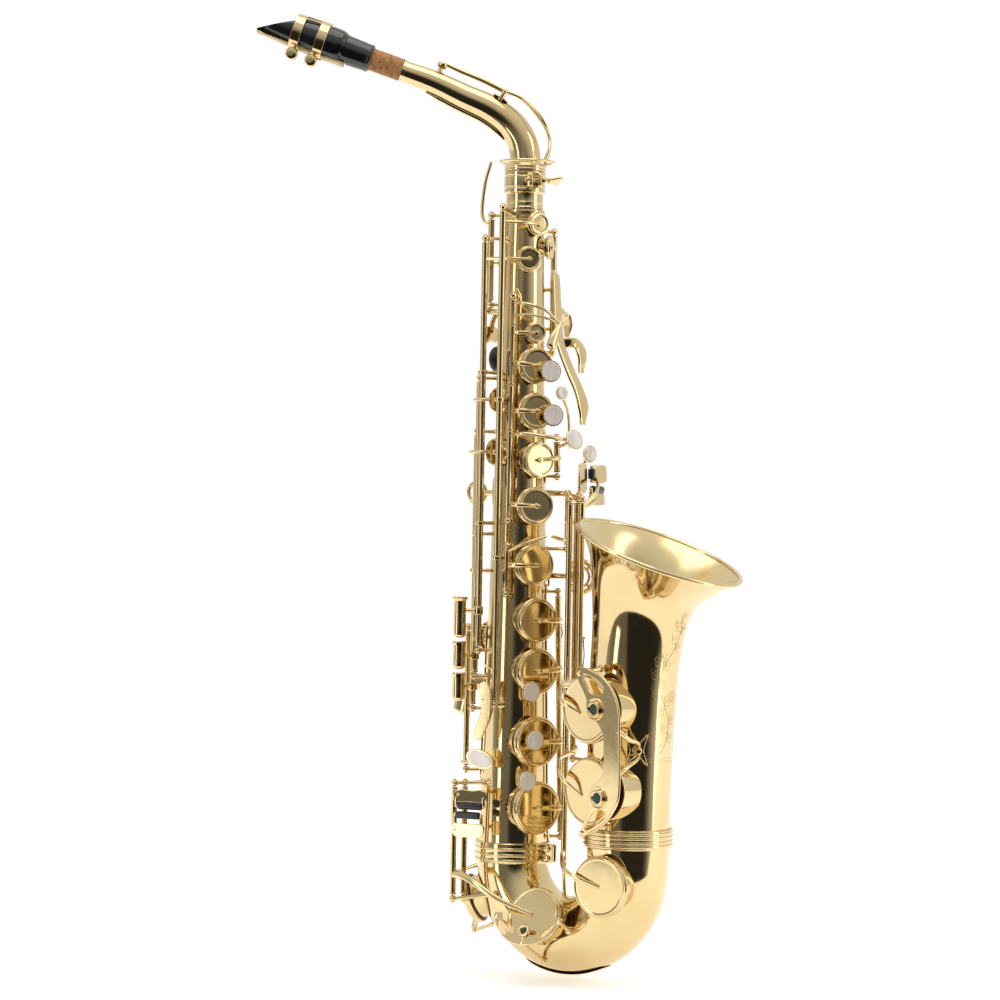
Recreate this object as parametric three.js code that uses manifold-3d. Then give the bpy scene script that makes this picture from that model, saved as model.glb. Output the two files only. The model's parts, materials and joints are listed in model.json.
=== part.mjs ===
// An alto saxophone with a swivelled neck: body tube, bow, bell, neck, mouthpiece and the full keywork.
//
// All sizes are millimetres. The working frame has +Z up along the body tube, +X from the body tube
// towards the bell, and the player's right-hand side at -Y. Its origin is the centre of the joint
// between body tube and bow. The finished group is moved so that the part's origin is the strap ring.
// Places round the body are given as polar(distance from the tube's axis, angle from +X, height).
import * as THREE from "three";
import { mergeVertices } from "three/addons/utils/BufferGeometryUtils.js";
import Module from "manifold-3d";

// ---------------------------------------------------------------- driving dimensions
const TUBE_R_BOTTOM = 26; // outer radius of the body cone at z = 0
const TUBE_TAPER = 0.0266; // radius lost per millimetre of height
const TUBE_Z = [3, 470]; // lower and upper end of the body tube
const WALL = 1.2; // wall of the tubes
const LEG_SPACING = 99; // from the body axis to the bell axis at the bow
const BOW_R = LEG_SPACING / 2;
const BOW_DROP = 7.5; // straight run of the bow below the body ring
const BELL_JOINT_Z = 17.5; // height of the ring between bow and bell
const BELL_RIM_R = 62;
const BELL_R = [29.8, 33.5]; // outer radius of the bell at its joint, and at the rim without the flare
const BELL_RIM = [121, 222]; // x and z of the rim's centre
const STACK_PHI = -30; // direction that the tone holes in line face
const UPPER_HINGE_PHI = -73;
const LOWER_HINGE_PHI = 28;
const HINGE_STANDOFF = 9; // from the tube's surface to the axis of a stack's hinge
const CHIMNEY_RISE = 3; // height of a tone hole's rim above the tube
const PAD_GAP = 0.35; // between a closed pad and its tone hole
const CUP_H = 6.4; // from the tone hole's rim to the top of a key cup
const HINGE_R = 2.3; // hinge tube
const HINGE_BORE = 1.55;
const ROD_R = 1.1; // steel rod inside a hinge tube
const ARM_R = 1.7;
const CLEAR = 0.3; // gap between neighbouring pieces
const NECK_PHI = -146.5; // direction that the neck points in, swivelled from straight back
const STRAP_RING = [-37.5, 0, 262]; // centre of the ring that the neck strap hooks into

// ---------------------------------------------------------------- materials
function finish(color, roughness, metalness) {
  return new THREE.MeshStandardMaterial({ color, roughness, metalness });
}
const BRASS = finish(0xd8b45c, 0.14, 1);
const STEEL = finish(0xb9b6ae, 0.25, 1);
const EBONITE = finish(0x0b0b0c, 0.2, 0);
const CORK = finish(0xb97a45, 0.85, 0);
const CANE = finish(0xd9bd7c, 0.6, 0);
const BLACK_RUBBER = finish(0x111112, 0.45, 0);

// ---------------------------------------------------------------- solids from three.js geometry
const wasm = await Module();
wasm.setup();
const UP = new THREE.Vector3(0, 1, 0);
const { degToRad: rad, lerp } = THREE.MathUtils;
const vec = (x, y, z) => new THREE.Vector3(x, y, z);
const polar = (rho, phi, z) => vec(rho * Math.cos(rad(phi)), rho * Math.sin(rad(phi)), z);
const along = (point, direction, distance) => point.clone().addScaledVector(direction, distance);
const tubeR = (z) => TUBE_R_BOTTOM - TUBE_TAPER * z;

function solidOf(geometry) {
  const bare = geometry.clone();
  bare.deleteAttribute("normal");
  bare.deleteAttribute("uv");
  const merged = mergeVertices(bare, 1e-4);
  const mesh = new wasm.Mesh({
    numProp: 3,
    vertProperties: merged.attributes.position.array,
    triVerts: new Uint32Array(merged.index.array),
  });
  return new wasm.Manifold(mesh);
}

function geometryOf(solid) {
  const mesh = solid.getMesh();
  const position = new Float32Array(mesh.numVert * 3);
  for (let i = 0; i < mesh.numVert; i++) {
    position.set(mesh.vertProperties.subarray(i * mesh.numProp, i * mesh.numProp + 3), i * 3);
  }
  const geometry = new THREE.BufferGeometry();
  geometry.setAttribute("position", new THREE.BufferAttribute(position, 3));
  geometry.setIndex(new THREE.BufferAttribute(mesh.triVerts, 1));
  return geometry;
}

const join = (...solids) => solids.flat().reduce((a, b) => a.add(b));

// A round bar from a to b, or a cone when its end radius differs.
function bar(a, b, r, sides = 8, rEnd = r) {
  const way = b.clone().sub(a);
  const geometry = new THREE.CylinderGeometry(rEnd, r, way.length(), sides);
  geometry.applyQuaternion(new THREE.Quaternion().setFromUnitVectors(UP, way.clone().normalize()));
  geometry.translate(...along(a, way, 0.5).toArray());
  return solidOf(geometry);
}

function ball(centre, r) {
  return solidOf(new THREE.SphereGeometry(r, 6, 4).translate(...centre.toArray()));
}

// A turned piece: the profile holds [radius, height along normal] and starts and ends on the axis.
function turned(profile, centre, normal, sides = 16) {
  const points = profile.map(([r, h]) => new THREE.Vector2(r, h));
  const geometry = new THREE.LatheGeometry(points, sides);
  geometry.applyQuaternion(new THREE.Quaternion().setFromUnitVectors(UP, normal.clone().normalize()));
  return solidOf(geometry.translate(...centre.toArray()));
}

// A bent four-sided bar through the points.
function arm(points, r = ARM_R) {
  const curve = new THREE.CatmullRomCurve3(points);
  const section = new THREE.Shape().absarc(0, 0, r, 0, 2 * Math.PI);
  const options = { extrudePath: curve, steps: points.length - 1, curveSegments: 2 };
  return solidOf(new THREE.ExtrudeGeometry(section, options));
}

// A flat plate: a shape drawn in the plane of right and up, its face towards right x up.
function plate(shape, thickness, centre, right, up, curveSegments = 1) {
  const face = right.clone().cross(up).normalize();
  const basis = new THREE.Matrix4().makeBasis(right.clone().normalize(), up.clone().normalize(), face);
  const geometry = new THREE.ExtrudeGeometry(shape, { depth: thickness, bevelEnabled: false, curveSegments });
  return solidOf(geometry.translate(0, 0, -thickness / 2).applyMatrix4(basis).translate(...centre.toArray()));
}

function roundedRect(w, h, r) {
  const shape = new THREE.Shape();
  shape.absarc(w / 2 - r, h / 2 - r, r, 0, Math.PI / 2);
  shape.absarc(-w / 2 + r, h / 2 - r, r, Math.PI / 2, Math.PI);
  shape.absarc(-w / 2 + r, -h / 2 + r, r, Math.PI, 1.5 * Math.PI);
  shape.absarc(w / 2 - r, -h / 2 + r, r, 1.5 * Math.PI, 2 * Math.PI);
  return shape;
}

// A straight turned piece bent along a flat curve: radiusAt(share of length) is its outer radius, and
// both ends stick out by overrun.
function bent(curve, planeNormal, radiusAt, stations, sides, overrun = 0) {
  const profile = [new THREE.Vector2(0, 0)];
  for (let i = 0; i <= stations; i++) profile.push(new THREE.Vector2(radiusAt(i / stations), i / stations));
  profile.push(new THREE.Vector2(0, 1));
  const geometry = new THREE.LatheGeometry(profile, sides);
  const position = geometry.getAttribute("position");
  for (let i = 0; i < position.count; i++) {
    const share = position.getY(i);
    const tangent = curve.getTangentAt(share);
    const across = planeNormal.clone().cross(tangent);
    const point = curve.getPointAt(share);
    if (share === 0) point.addScaledVector(tangent, -overrun);
    if (share === 1) point.addScaledVector(tangent, overrun);
    point.addScaledVector(planeNormal, position.getX(i));
    point.addScaledVector(across, position.getZ(i));
    position.setXYZ(i, ...point.toArray());
  }
  return solidOf(geometry);
}

// ---------------------------------------------------------------- the assembly
const saxophone = new THREE.Group();
saxophone.position.set(-STRAP_RING[0], -STRAP_RING[1], -STRAP_RING[2]);

function add(name, solid, material = BRASS, parent = saxophone) {
  const mesh = new THREE.Mesh(geometryOf(solid), material);
  mesh.name = name;
  parent.add(mesh);
  return mesh;
}

// A piece that turns about the line from a to b. It is modelled closed, then turned by restDeg.
function addTurning(name, solid, a, b, restDeg, rangeDeg, material = BRASS) {
  const axis = b.clone().sub(a).normalize();
  const pivot = new THREE.Group();
  pivot.position.copy(a);
  pivot.quaternion.setFromAxisAngle(axis, rad(restDeg));
  saxophone.add(pivot);
  const geometry = geometryOf(solid).translate(-a.x, -a.y, -a.z);
  const mesh = new THREE.Mesh(geometry, material);
  mesh.name = name;
  mesh.userData.joint = { point: a.toArray(), axis: axis.toArray(), rangeDeg };
  pivot.add(mesh);
  return mesh;
}

// ---------------------------------------------------------------- tone holes
// Each hole in line on the body tube: [height, tone hole radius, cup radius].
const STACK = {
  c: [379, 5, 8],
  b: [355, 9.5, 13.5],
  a: [322, 9.5, 13.5],
  bis: [286.5, 9.5, 13.5],
  g: [253, 10, 14],
  gsharp: [210, 11.5, 15.5],
  fsharp: [170, 12.5, 16.5],
  f: [133, 13, 17],
  e: [82, 14.5, 18.5],
  d: [34, 15.5, 19.5],
};
// Holes elsewhere on the body tube: [height, direction, tone hole radius, cup radius].
const SIDE_HOLES = {
  high_fsharp: [459, -24, 5.5, 9],
  palm_f: [443, 22, 5.5, 9],
  high_e: [433, -45, 6, 9.5],
  palm_eb: [413, 103, 6, 9.5],
  palm_d: [384, 103, 6.5, 10],
  side_c: [330, -103, 7, 9.6],
  side_bb: [292, -106, 7.5, 10.2],
  trill_fsharp: [156, 178, 8, 11],
};
for (const [name, [z, hole, cup]] of Object.entries(STACK)) SIDE_HOLES[name] = [z, STACK_PHI, hole, cup];

// Where a cup sits when its key is closed: centre of the tone hole's rim, facing normal.
function seatOnTube(name) {
  const [z, phi, hole, cup] = SIDE_HOLES[name];
  return { centre: polar(tubeR(z) + CHIMNEY_RISE, phi, z), normal: polar(1, phi, 0), hole, cup };
}

const holeSides = (hole) => (hole < 9 ? 6 : 8);
const chimney = ({ centre, normal, hole }, depth) =>
  bar(along(centre, normal, -depth), centre, hole + WALL, holeSides(hole));
const toneHole = ({ centre, normal, hole }, depth) =>
  bar(along(centre, normal, -depth), along(centre, normal, 1), hole, holeSides(hole));

// Height of a cup with its pad: the large ones are deeper.
const cupHeight = ({ cup }) => (cup < 11.5 ? CUP_H - 1.8 : CUP_H);
const cupTop = (seat) => along(seat.centre, seat.normal, cupHeight(seat) - 0.3);

// Cup with its pad, in the closed position.
function padCup(seat) {
  const { centre, normal, cup } = seat;
  const height = cupHeight(seat);
  const profile = [[0, PAD_GAP], [cup, PAD_GAP], [cup - 1, height], [0, height]];
  return turned(profile, centre, normal, cup < 11.5 ? 8 : 12);
}

// ---------------------------------------------------------------- body tube
// The small tube that the body's octave key closes.
const BODY_PIP = { centre: polar(tubeR(432) + 4, 172, 432), normal: polar(1, 172, 0), hole: 0.9, cup: 4.2 };

function bodyTube() {
  const [low, high] = TUBE_Z;
  const outer = bar(vec(0, 0, low), vec(0, 0, high), tubeR(low), 16, tubeR(high));
  const inner = bar(vec(0, 0, low - 1), vec(0, 0, high + 1), tubeR(low) - WALL, 16, tubeR(high) - WALL);
  const seats = [...Object.keys(SIDE_HOLES).map(seatOnTube), BODY_PIP];
  const chimneys = seats.map((s) => chimney(s, CHIMNEY_RISE + 6));
  const holes = seats.map((s) => toneHole(s, CHIMNEY_RISE + 11));
  return join(outer, chimneys, bodyPosts()).subtract(inner).subtract(join(holes));
}

// ---------------------------------------------------------------- bow
const BOW_TOP_R = TUBE_R_BOTTOM - 0.2;
const BOW_END_R = 30;
const bowCurve = new THREE.CurvePath();
bowCurve.add(new THREE.LineCurve3(vec(0, 0, 2.7), vec(0, 0, -BOW_DROP)));
class HalfTurn extends THREE.Curve {
  getPoint(t) {
    const angle = Math.PI * t;
    return vec(BOW_R - BOW_R * Math.cos(angle), 0, -BOW_DROP - BOW_R * Math.sin(angle));
  }
}
bowCurve.add(new HalfTurn());
bowCurve.add(new THREE.LineCurve3(vec(LEG_SPACING, 0, -BOW_DROP), vec(LEG_SPACING, 0, BELL_JOINT_Z - 1)));
const bowR = (share) => lerp(BOW_TOP_R, BOW_END_R, share);
const SIDEWAYS = vec(0, 1, 0);

// The point on the bow's centre line at an angle in degrees from the body side, and its outward direction.
function onBow(angle) {
  const a = rad(angle);
  return {
    point: vec(BOW_R - BOW_R * Math.cos(a), 0, -BOW_DROP - BOW_R * Math.sin(a)),
    outward: vec(-Math.cos(a), 0, -Math.sin(a)),
  };
}

// A seat on the bow. Its normal is turned from the player's right (-Y) by `lean` degrees towards the
// outside of the bend.
function seatOnBow(angle, lean, r, hole, cup) {
  const { point, outward } = onBow(angle);
  const normal = vec(0, -Math.cos(rad(lean)), 0).addScaledVector(outward, Math.sin(rad(lean)));
  return { centre: point.addScaledVector(normal, r + CHIMNEY_RISE + 1), normal, hole, cup };
}
const LOW_EB = seatOnBow(21, 75, 26.5, 14.5, 18.5);
const LOW_C = seatOnBow(80, -27, 28, 17, 21.5);
const LOW_CSHARP = { centre: vec(99.5, -34, -15), normal: vec(0, -1, 0), hole: 17.5, cup: 22 };

function bow() {
  const seats = [LOW_EB, LOW_C, LOW_CSHARP];
  const outer = bent(bowCurve, SIDEWAYS, bowR, 11, 14);
  const inner = bent(bowCurve, SIDEWAYS, (s) => bowR(s) - WALL, 11, 14, 2);
  const chimneys = seats.map((s) => chimney(s, 14));
  const holes = seats.map((s) => toneHole(s, 18));
  return join(outer, chimneys, bowPosts()).subtract(inner).subtract(join(holes));
}

// ---------------------------------------------------------------- bell
const bellCurve = new THREE.CatmullRomCurve3([
  vec(LEG_SPACING, 0, BELL_JOINT_Z),
  vec(LEG_SPACING + 0.2, 0, 62),
  vec(LEG_SPACING + 1.4, 0, 112),
  vec(LEG_SPACING + 4.6, 0, 156),
  vec(LEG_SPACING + 10.5, 0, 192),
  vec(BELL_RIM[0], 0, BELL_RIM[1]),
]);
// Outer radius along the bell: nearly straight, then the flare.
const FLARE_START = 0.42;
const FLARE_POWER = 4.7;
function bellR(share) {
  const flare = Math.pow(Math.max(0, share - FLARE_START) / (1 - FLARE_START), FLARE_POWER);
  return lerp(...BELL_R, share) + (BELL_RIM_R - BELL_R[1]) * flare;
}
const LOW_B = { centre: vec(96, -38.5, 110.5), normal: polar(1, -98, 0), hole: 20, cup: 24.5 };
const LOW_BB = { centre: vec(99, -37.5, 52.5), normal: polar(1, -98, 0), hole: 20, cup: 24.5 };

function bell() {
  const seats = [LOW_B, LOW_BB];
  const outer = bent(bellCurve, SIDEWAYS, bellR, 10, 18);
  const inner = bent(bellCurve, SIDEWAYS, (s) => bellR(s) - WALL, 10, 18, 2);
  const chimneys = seats.map((s) => chimney(s, 20));
  const holes = seats.map((s) => toneHole(s, 23));
  return join(outer, chimneys, bellPosts()).subtract(inner).subtract(join(holes));
}

// ---------------------------------------------------------------- joint rings and brace
const RISE = vec(0, 0, 1);
function uprightRing(centre, rInner, rOuter, height) {
  const outer = bar(along(centre, RISE, -height / 2), along(centre, RISE, height / 2), rOuter, 20);
  const hole = bar(along(centre, RISE, -height), along(centre, RISE, height), rInner, 20);
  return outer.subtract(hole);
}

// Clamp ring over the joint of body tube and bow, with two ears and a screw towards the bell.
function bodyBowRing() {
  const band = uprightRing(vec(0, 0, 0), TUBE_R_BOTTOM + 0.6, TUBE_R_BOTTOM + 2.6, 15);
  const ears = [-1, 1].map((side) =>
    plate(roundedRect(10, 13, 1), 2, vec(TUBE_R_BOTTOM + 6, side * 2.2, 0), vec(1, 0, 0), RISE));
  const screws = [-3.5, 3.5].map((z) => bar(vec(31.5, -5.5, z), vec(31.5, 5.5, z), 1.4, 6));
  return join(band, ears, screws);
}
add("body_bow_ring", bodyBowRing());
const bellRing = uprightRing(vec(LEG_SPACING, 0, BELL_JOINT_Z), BOW_END_R + 0.7, BOW_END_R + 2.6, 14);
add("bell_bow_ring", bellRing);

// A hoop that stands in the plane of body and bell.
function uprightHoop(centre, r, thickness) {
  const torus = new THREE.TorusGeometry(r, thickness, 6, 12).rotateX(Math.PI / 2);
  return solidOf(torus.translate(...centre.toArray()));
}

// Ring brace that holds the bell to the body tube.
function bellBrace() {
  const z = 202;
  const hoop = uprightHoop(vec(46, 14, z), 11.5, 2);
  const feet = [
    bar(vec(19.3, 13, z), vec(36, 14, z), 2, 6),
    bar(vec(56, 14, z), vec(68.6, 14.4, z), 2, 6),
  ];
  const bodyFoot = plate(roundedRect(9, 16, 2), 1.6, vec(18.6, 13, z), vec(-0.57, 0.82, 0), RISE);
  const bellFoot = plate(roundedRect(8, 14, 2), 1.6, vec(69, 14.6, z), vec(0.35, 0.94, 0), vec(-0.1, 0, 1));
  return join(hoop, feet, bodyFoot, bellFoot);
}
add("bell_brace", bellBrace());

// ---------------------------------------------------------------- neck receiver and its screw
const RECEIVER_Z = [TUBE_Z[1] + CLEAR, 498];
const TENON_R = 11.6;
const EAR_PHI = -35;
const LYRE_PHI = 100; // direction of the lyre's socket
const EAR_Z = 491;
const EAR_SCREW_R = 18.5; // from the tube's axis to the screw
const acrossEars = polar(1, EAR_PHI + 90, 0);
const earAt = (rho, tangential) => along(polar(rho, EAR_PHI, EAR_Z), acrossEars, tangential);

function neckReceiver() {
  const [low, high] = RECEIVER_Z;
  const height = high - low;
  const profile = [[0, 0], [13.7, 0], [13.7, 12], [15, 13], [15, height], [0, height]];
  const body = turned(profile, vec(0, 0, low), RISE, 16);
  const bore = bar(vec(0, 0, low - 1), vec(0, 0, high + 1), TENON_R + 0.7, 16);
  const ears = [-3.4, 3.4].map((t) =>
    plate(roundedRect(9, 10, 1.5), 2.4, earAt(17.5, t), polar(1, EAR_PHI, 0), RISE));
  const lyreOut = polar(1, LYRE_PHI, 0);
  const lyreAcross = polar(1, LYRE_PHI + 90, 0);
  const lyreSocket = plate(roundedRect(11, 8, 1), 9, polar(19.4, LYRE_PHI, 490), lyreOut, lyreAcross);
  const screwHole = bar(earAt(EAR_SCREW_R, -7), earAt(EAR_SCREW_R, 7), 1.75, 6);
  const lyreHole = bar(polar(20.4, LYRE_PHI, 480), polar(20.4, LYRE_PHI, 500), 2.4, 6);
  return join(body, ears, lyreSocket).subtract(join(bore, screwHole, lyreHole));
}
add("neck_receiver", neckReceiver());

const screwTip = earAt(EAR_SCREW_R, -6.5);
const screwEnd = earAt(EAR_SCREW_R, 14);
function neckScrew() {
  const shank = bar(screwTip, screwEnd, 1.3, 6);
  const head = bar(earAt(EAR_SCREW_R, 7), earAt(EAR_SCREW_R, 12), 3.2, 8);
  const wing = plate(roundedRect(9, 13, 3.5), 2, earAt(EAR_SCREW_R, 17), acrossEars, RISE);
  return join(shank, head, wing);
}
addTurning("neck_screw", neckScrew(), screwTip, screwEnd, 0, [-90, 90]);

// ---------------------------------------------------------------- neck
const neckDir = polar(1, NECK_PHI, 0);
const neckSide = neckDir.clone().cross(RISE).negate(); // across the neck's plane
const onNeck = (reach, z) => neckDir.clone().multiplyScalar(reach).add(vec(0, 0, z));
// The neck's centre line: [reach towards the player, height].
const NECK_LINE = [
  [0, 500],
  [0.3, 511],
  [3.4, 522.5],
  [11, 533.5],
  [25, 544],
  [46, 553.4],
  [68, 563.4],
  [91, 571.4],
];
const neckCurve = new THREE.CatmullRomCurve3(NECK_LINE.map(([reach, z]) => onNeck(reach, z)));
const alongEnd = neckCurve.getTangentAt(1);
const alongNeck = (distance) => along(neckCurve.getPointAt(1), alongEnd, distance);
const OCTAVE_RING_SHIFT = -1.3; // the octave ring rests off centre, away from the mouthpiece
const neckR = (share) => lerp(11.4, 7.6, Math.pow(share, 1.15));

function neck() {
  const outer = bent(neckCurve, neckSide, neckR, 8, 12);
  const inner = bent(neckCurve, neckSide, (s) => neckR(s) - WALL, 8, 12);
  const tenon = bar(vec(0, 0, 476), vec(0, 0, 501), TENON_R, 12);
  const collar = turned([[0, 0], [15.2, 0], [15.2, 4], [12.4, 7], [0, 7]], vec(0, 0, 498.4), RISE, 12);
  const tenonBore = bar(vec(0, 0, 475), vec(0, 0, 502), TENON_R - WALL, 12);
  const corkSleeve = bar(alongNeck(-1), alongNeck(46), 6.5, 12);
  const sleeveBore = bar(alongNeck(-3), alongNeck(48), 5.6, 12);
  const pip = bar(pipBase, pipTop, 2, 6);
  const pipHole = bar(along(pipBase, pipUp, -4), along(pipTop, pipUp, 1), 0.8, 6);
  const posts = [-1, 1].map((side) => {
    const foot = along(saddle, neckSide, side * 4.4).addScaledVector(saddleUp, -8.5);
    const head = along(saddle, neckSide, side * 5.4);
    return join(bar(foot, head, 1.3, 4), ball(head, 2));
  });
  const bores = join(inner, tenonBore, sleeveBore, pipHole);
  return join(outer, tenon, collar, corkSleeve, pip, posts).subtract(bores);
}
// The octave pip sits on top of the neck, and the saddle of its key further down.
const above = (share, lift) => {
  const out = neckSide.clone().cross(neckCurve.getTangentAt(share));
  if (out.z < 0) out.negate();
  return { point: neckCurve.getPointAt(share).addScaledVector(out, lift), out };
};
const { point: pipBase, out: pipUp } = above(0.8, neckR(0.8) - 1.5);
const pipTop = pipBase.clone().addScaledVector(pipUp, 4.5);
const { point: saddle, out: saddleUp } = above(0.42, neckR(0.42) + 5.5);
add("neck", neck());

const CORK_R = 8.2;
const corkSolid = bar(alongNeck(0.4), alongNeck(44), CORK_R, 12, CORK_R - 0.4);
add("neck_cork", corkSolid.subtract(bar(alongNeck(-1), alongNeck(46), 7, 12)), CORK);

// The octave key on the neck: a ring round the tenon, two curved arms, a saddle pivot and a pad on the pip.
function neckOctaveKey() {
  const ringZ = 508;
  const shift = neckDir.clone().multiplyScalar(OCTAVE_RING_SHIFT);
  const hoop = solidOf(new THREE.TorusGeometry(19.5, 1.5, 4, 14).translate(shift.x, shift.y, ringZ - 2.6));
  const arms = [-1, 1].map((side) => arm([
    polar(19.5, NECK_PHI + 180 + side * 42, ringZ - 2),
    polar(20.5, NECK_PHI + 180 + side * 30, 516),
    above(0.2, neckR(0.2) + 9.5).point.addScaledVector(neckSide, side * 7),
    above(0.33, neckR(0.33) + 9).point.addScaledVector(neckSide, side * 2),
    saddle.clone().addScaledVector(saddleUp, 1.2),
  ], 1.3));
  const barrel = bar(along(saddle, neckSide, -2.7), along(saddle, neckSide, 2.7), 2, 8);
  const padCentre = pipTop.clone().addScaledVector(pipUp, 0.3);
  const lever = arm([
    saddle.clone().addScaledVector(saddleUp, 0.8),
    above(0.55, neckR(0.55) + 6.8).point,
    above(0.7, neckR(0.7) + 6.6).point,
    padCentre.clone().addScaledVector(pipUp, 3.6),
  ], 1.4);
  const cup = [[0, 0], [3.4, 0], [3.8, 1.5], [3.8, 3.4], [2.6, 4.2], [0, 4.4]];
  return join(hoop, arms, barrel, lever, turned(cup, padCentre, pipUp, 10));
}
addTurning("neck_octave_key", neckOctaveKey(), saddle.clone().add(neckSide), saddle, 0, [0, 3.5]);

// ---------------------------------------------------------------- mouthpiece, reed, ligature
// Distances along the mouthpiece run from its shank to its tip; the beak is on top.
const mouthUp = neckSide.clone().cross(alongEnd);
if (mouthUp.z < 0) mouthUp.negate();
const MOUTH_START = 25; // from the neck's end to the shank's edge
const MOUTH_L = 86;
const TABLE_DROP = 9.6; // from the axis to the flat that the reed lies on
const REED_BUTT = 18; // where the reed begins
const onMouth = (distance, height = 0, side = 0) =>
  alongNeck(MOUTH_START + distance).addScaledVector(mouthUp, height).addScaledVector(neckSide, side);

const outline = (points) => new THREE.Shape(points.map(([x, y]) => new THREE.Vector2(x, y)));
const BEAK_SLOPE = [[56, 10.5], [MOUTH_L + 2, 1 - TABLE_DROP], [MOUTH_L + 2, 20], [56, 20]];

function mouthpiece() {
  const shank = [[0, 0], [9.9, 0], [10.3, 1.5], [11, 22], [12.9, 27]];
  const profile = [...shank, [13.1, 34], [11.2, 58], [9.6, 75], [8.6, MOUTH_L], [0, MOUTH_L]];
  const blank = turned(profile, onMouth(0), alongEnd, 14);
  // The reed's table cuts the underside flat, and the beak slopes down to the tip.
  const underTable = onMouth(REED_BUTT + 43, -TABLE_DROP - 8);
  const table = plate(roundedRect(90, 16, 1), 40, underTable, alongEnd, mouthUp);
  const beak = plate(outline(BEAK_SLOPE), 40, onMouth(0), alongEnd, mouthUp);
  const bore = bar(onMouth(-1), onMouth(42), CORK_R + 0.6, 10);
  const chamber = bar(onMouth(40), onMouth(62), 5, 8);
  const window = plate(roundedRect(27, 12, 1), 9.5, onMouth(70, -TABLE_DROP + 1.5), alongEnd, neckSide);
  return blank.subtract(join(table, beak)).subtract(join(bore, chamber)).subtract(window);
}
add("mouthpiece", mouthpiece(), EBONITE);

// The reed: flat butt under the ligature, scraped thin to the tip.
function reed() {
  const scrape = [[MOUTH_L, -0.5], [REED_BUTT + 38, -2.7]];
  const side = outline([[REED_BUTT, 0], [MOUTH_L, 0], ...scrape, [REED_BUTT, -2.9]]);
  const roundBack = bar(onMouth(REED_BUTT - 1), onMouth(MOUTH_L + 1), 12.9, 16, 11.2);
  return plate(side, 15, onMouth(0, -TABLE_DROP - CLEAR), alongEnd, mouthUp).intersect(roundBack);
}
add("reed", reed(), CANE);

const LIG = [34, 62]; // along the mouthpiece: the ligature's back and front edges
const LIG_SCREWS = [40, 55.5];
const LIG_SCREW_DROP = -17.4; // from the axis down to the screws
const ligR = (distance) => lerp(13.7, 12.4, (distance - LIG[0]) / (LIG[1] - LIG[0]));
function ligature() {
  const [back, front] = LIG;
  const shell = bar(onMouth(back), onMouth(front), ligR(back) + 1.1, 14, ligR(front) + 1.1);
  const inside = bar(onMouth(back - 1), onMouth(front + 1), ligR(back), 14, ligR(front));
  const windowCentre = onMouth((back + front) / 2 - 0.5, 2.5);
  const window = plate(roundedRect(11, 18, 1.5), 40, windowCentre, alongEnd, mouthUp);
  const cheeks = LIG_SCREWS.flatMap((d) => [-4, 4].map((s) =>
    bar(onMouth(d, LIG_SCREW_DROP - 2, s), onMouth(d, -ligR(d) + 0.2, s), 2.4, 6)));
  const bores = LIG_SCREWS.map((d) =>
    bar(onMouth(d, LIG_SCREW_DROP, -8), onMouth(d, LIG_SCREW_DROP, 8), 1.4, 6));
  return join(shell.subtract(inside).subtract(window), cheeks).subtract(join(bores));
}
add("ligature", ligature());

function ligatureScrew(distance) {
  const at = (s) => onMouth(distance, LIG_SCREW_DROP, s);
  const shank = bar(at(-8), at(9), 1.1, 6);
  const thumbProfile = [[0, 0], [1.8, 0], [4.4, 1.6], [4.4, 3.6], [2.4, 4.6], [0, 4.6]];
  const thumb = turned(thumbProfile, at(6.9), neckSide, 8);
  const button = bar(at(-9.2), at(-6.9), 2.2, 6);
  return join(shank, thumb, button);
}
["ligature_screw_rear", "ligature_screw_front"].forEach((name, i) => {
  const at = (s) => onMouth(LIG_SCREWS[i], LIG_SCREW_DROP, s);
  addTurning(name, ligatureScrew(LIG_SCREWS[i]), at(0), at(1), 0, [-180, 180]);
});

// ---------------------------------------------------------------- hinge lines, posts and keys
const upperHinge = (z) => polar(tubeR(z) + HINGE_STANDOFF, UPPER_HINGE_PHI, z);
const lowerHinge = (z) => polar(tubeR(z) + HINGE_STANDOFF, LOWER_HINGE_PHI, z);
const upright = (rho, phi) => (z) => polar(rho, phi, z);
const standing = (x, y) => (z) => vec(x, y, z);

const HIGH_FSHARP_LINE = upright(33.5, -84);
const SIDE_E_LINE = upright(32, -118);
const SIDE_C_LINE = upright(32, -128);
const SIDE_BB_LINE = upright(32, -138);
const PALM_LINE = upright(25.5, 62);
const TRILL_LINE = upright(36, -152);
const OCTAVE_LINE = upright(24, -146);
const LOW_C_LINE = standing(-27, -38);
const LOW_EB_LINE = standing(-23.2, -30);
const CSHARP_LINE = standing(47, -4);
const BB_LINE = standing(48.5, 3.5);
const B_LINE = standing(55.5, -1);
const LEVER_LINE = standing(37, 9);
const THUMB_LINE = (y) => vec(-(tubeR(396) + 7), y, 396);

const POST_R = 2.5; // ball on top of a post, which holds a pivot

// A ball-topped post from a foot inside a wall to its head at a hinge line.
function post(foot, head) {
  const way = head.clone().sub(foot);
  const height = way.length();
  return turned([[0, 0], [1.7, 0], [1.4, height - 2], [POST_R, height], [0, height + 2]], foot, way, 5);
}
const HIGHEST_FOOT = TUBE_Z[1] - 4;
const tubeFoot = (phi, z) => polar(tubeR(z) - 0.6, phi, Math.min(z, HIGHEST_FOOT));
const tubePost = (line, z, phi) => post(tubeFoot(phi, z), line(z));

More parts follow.
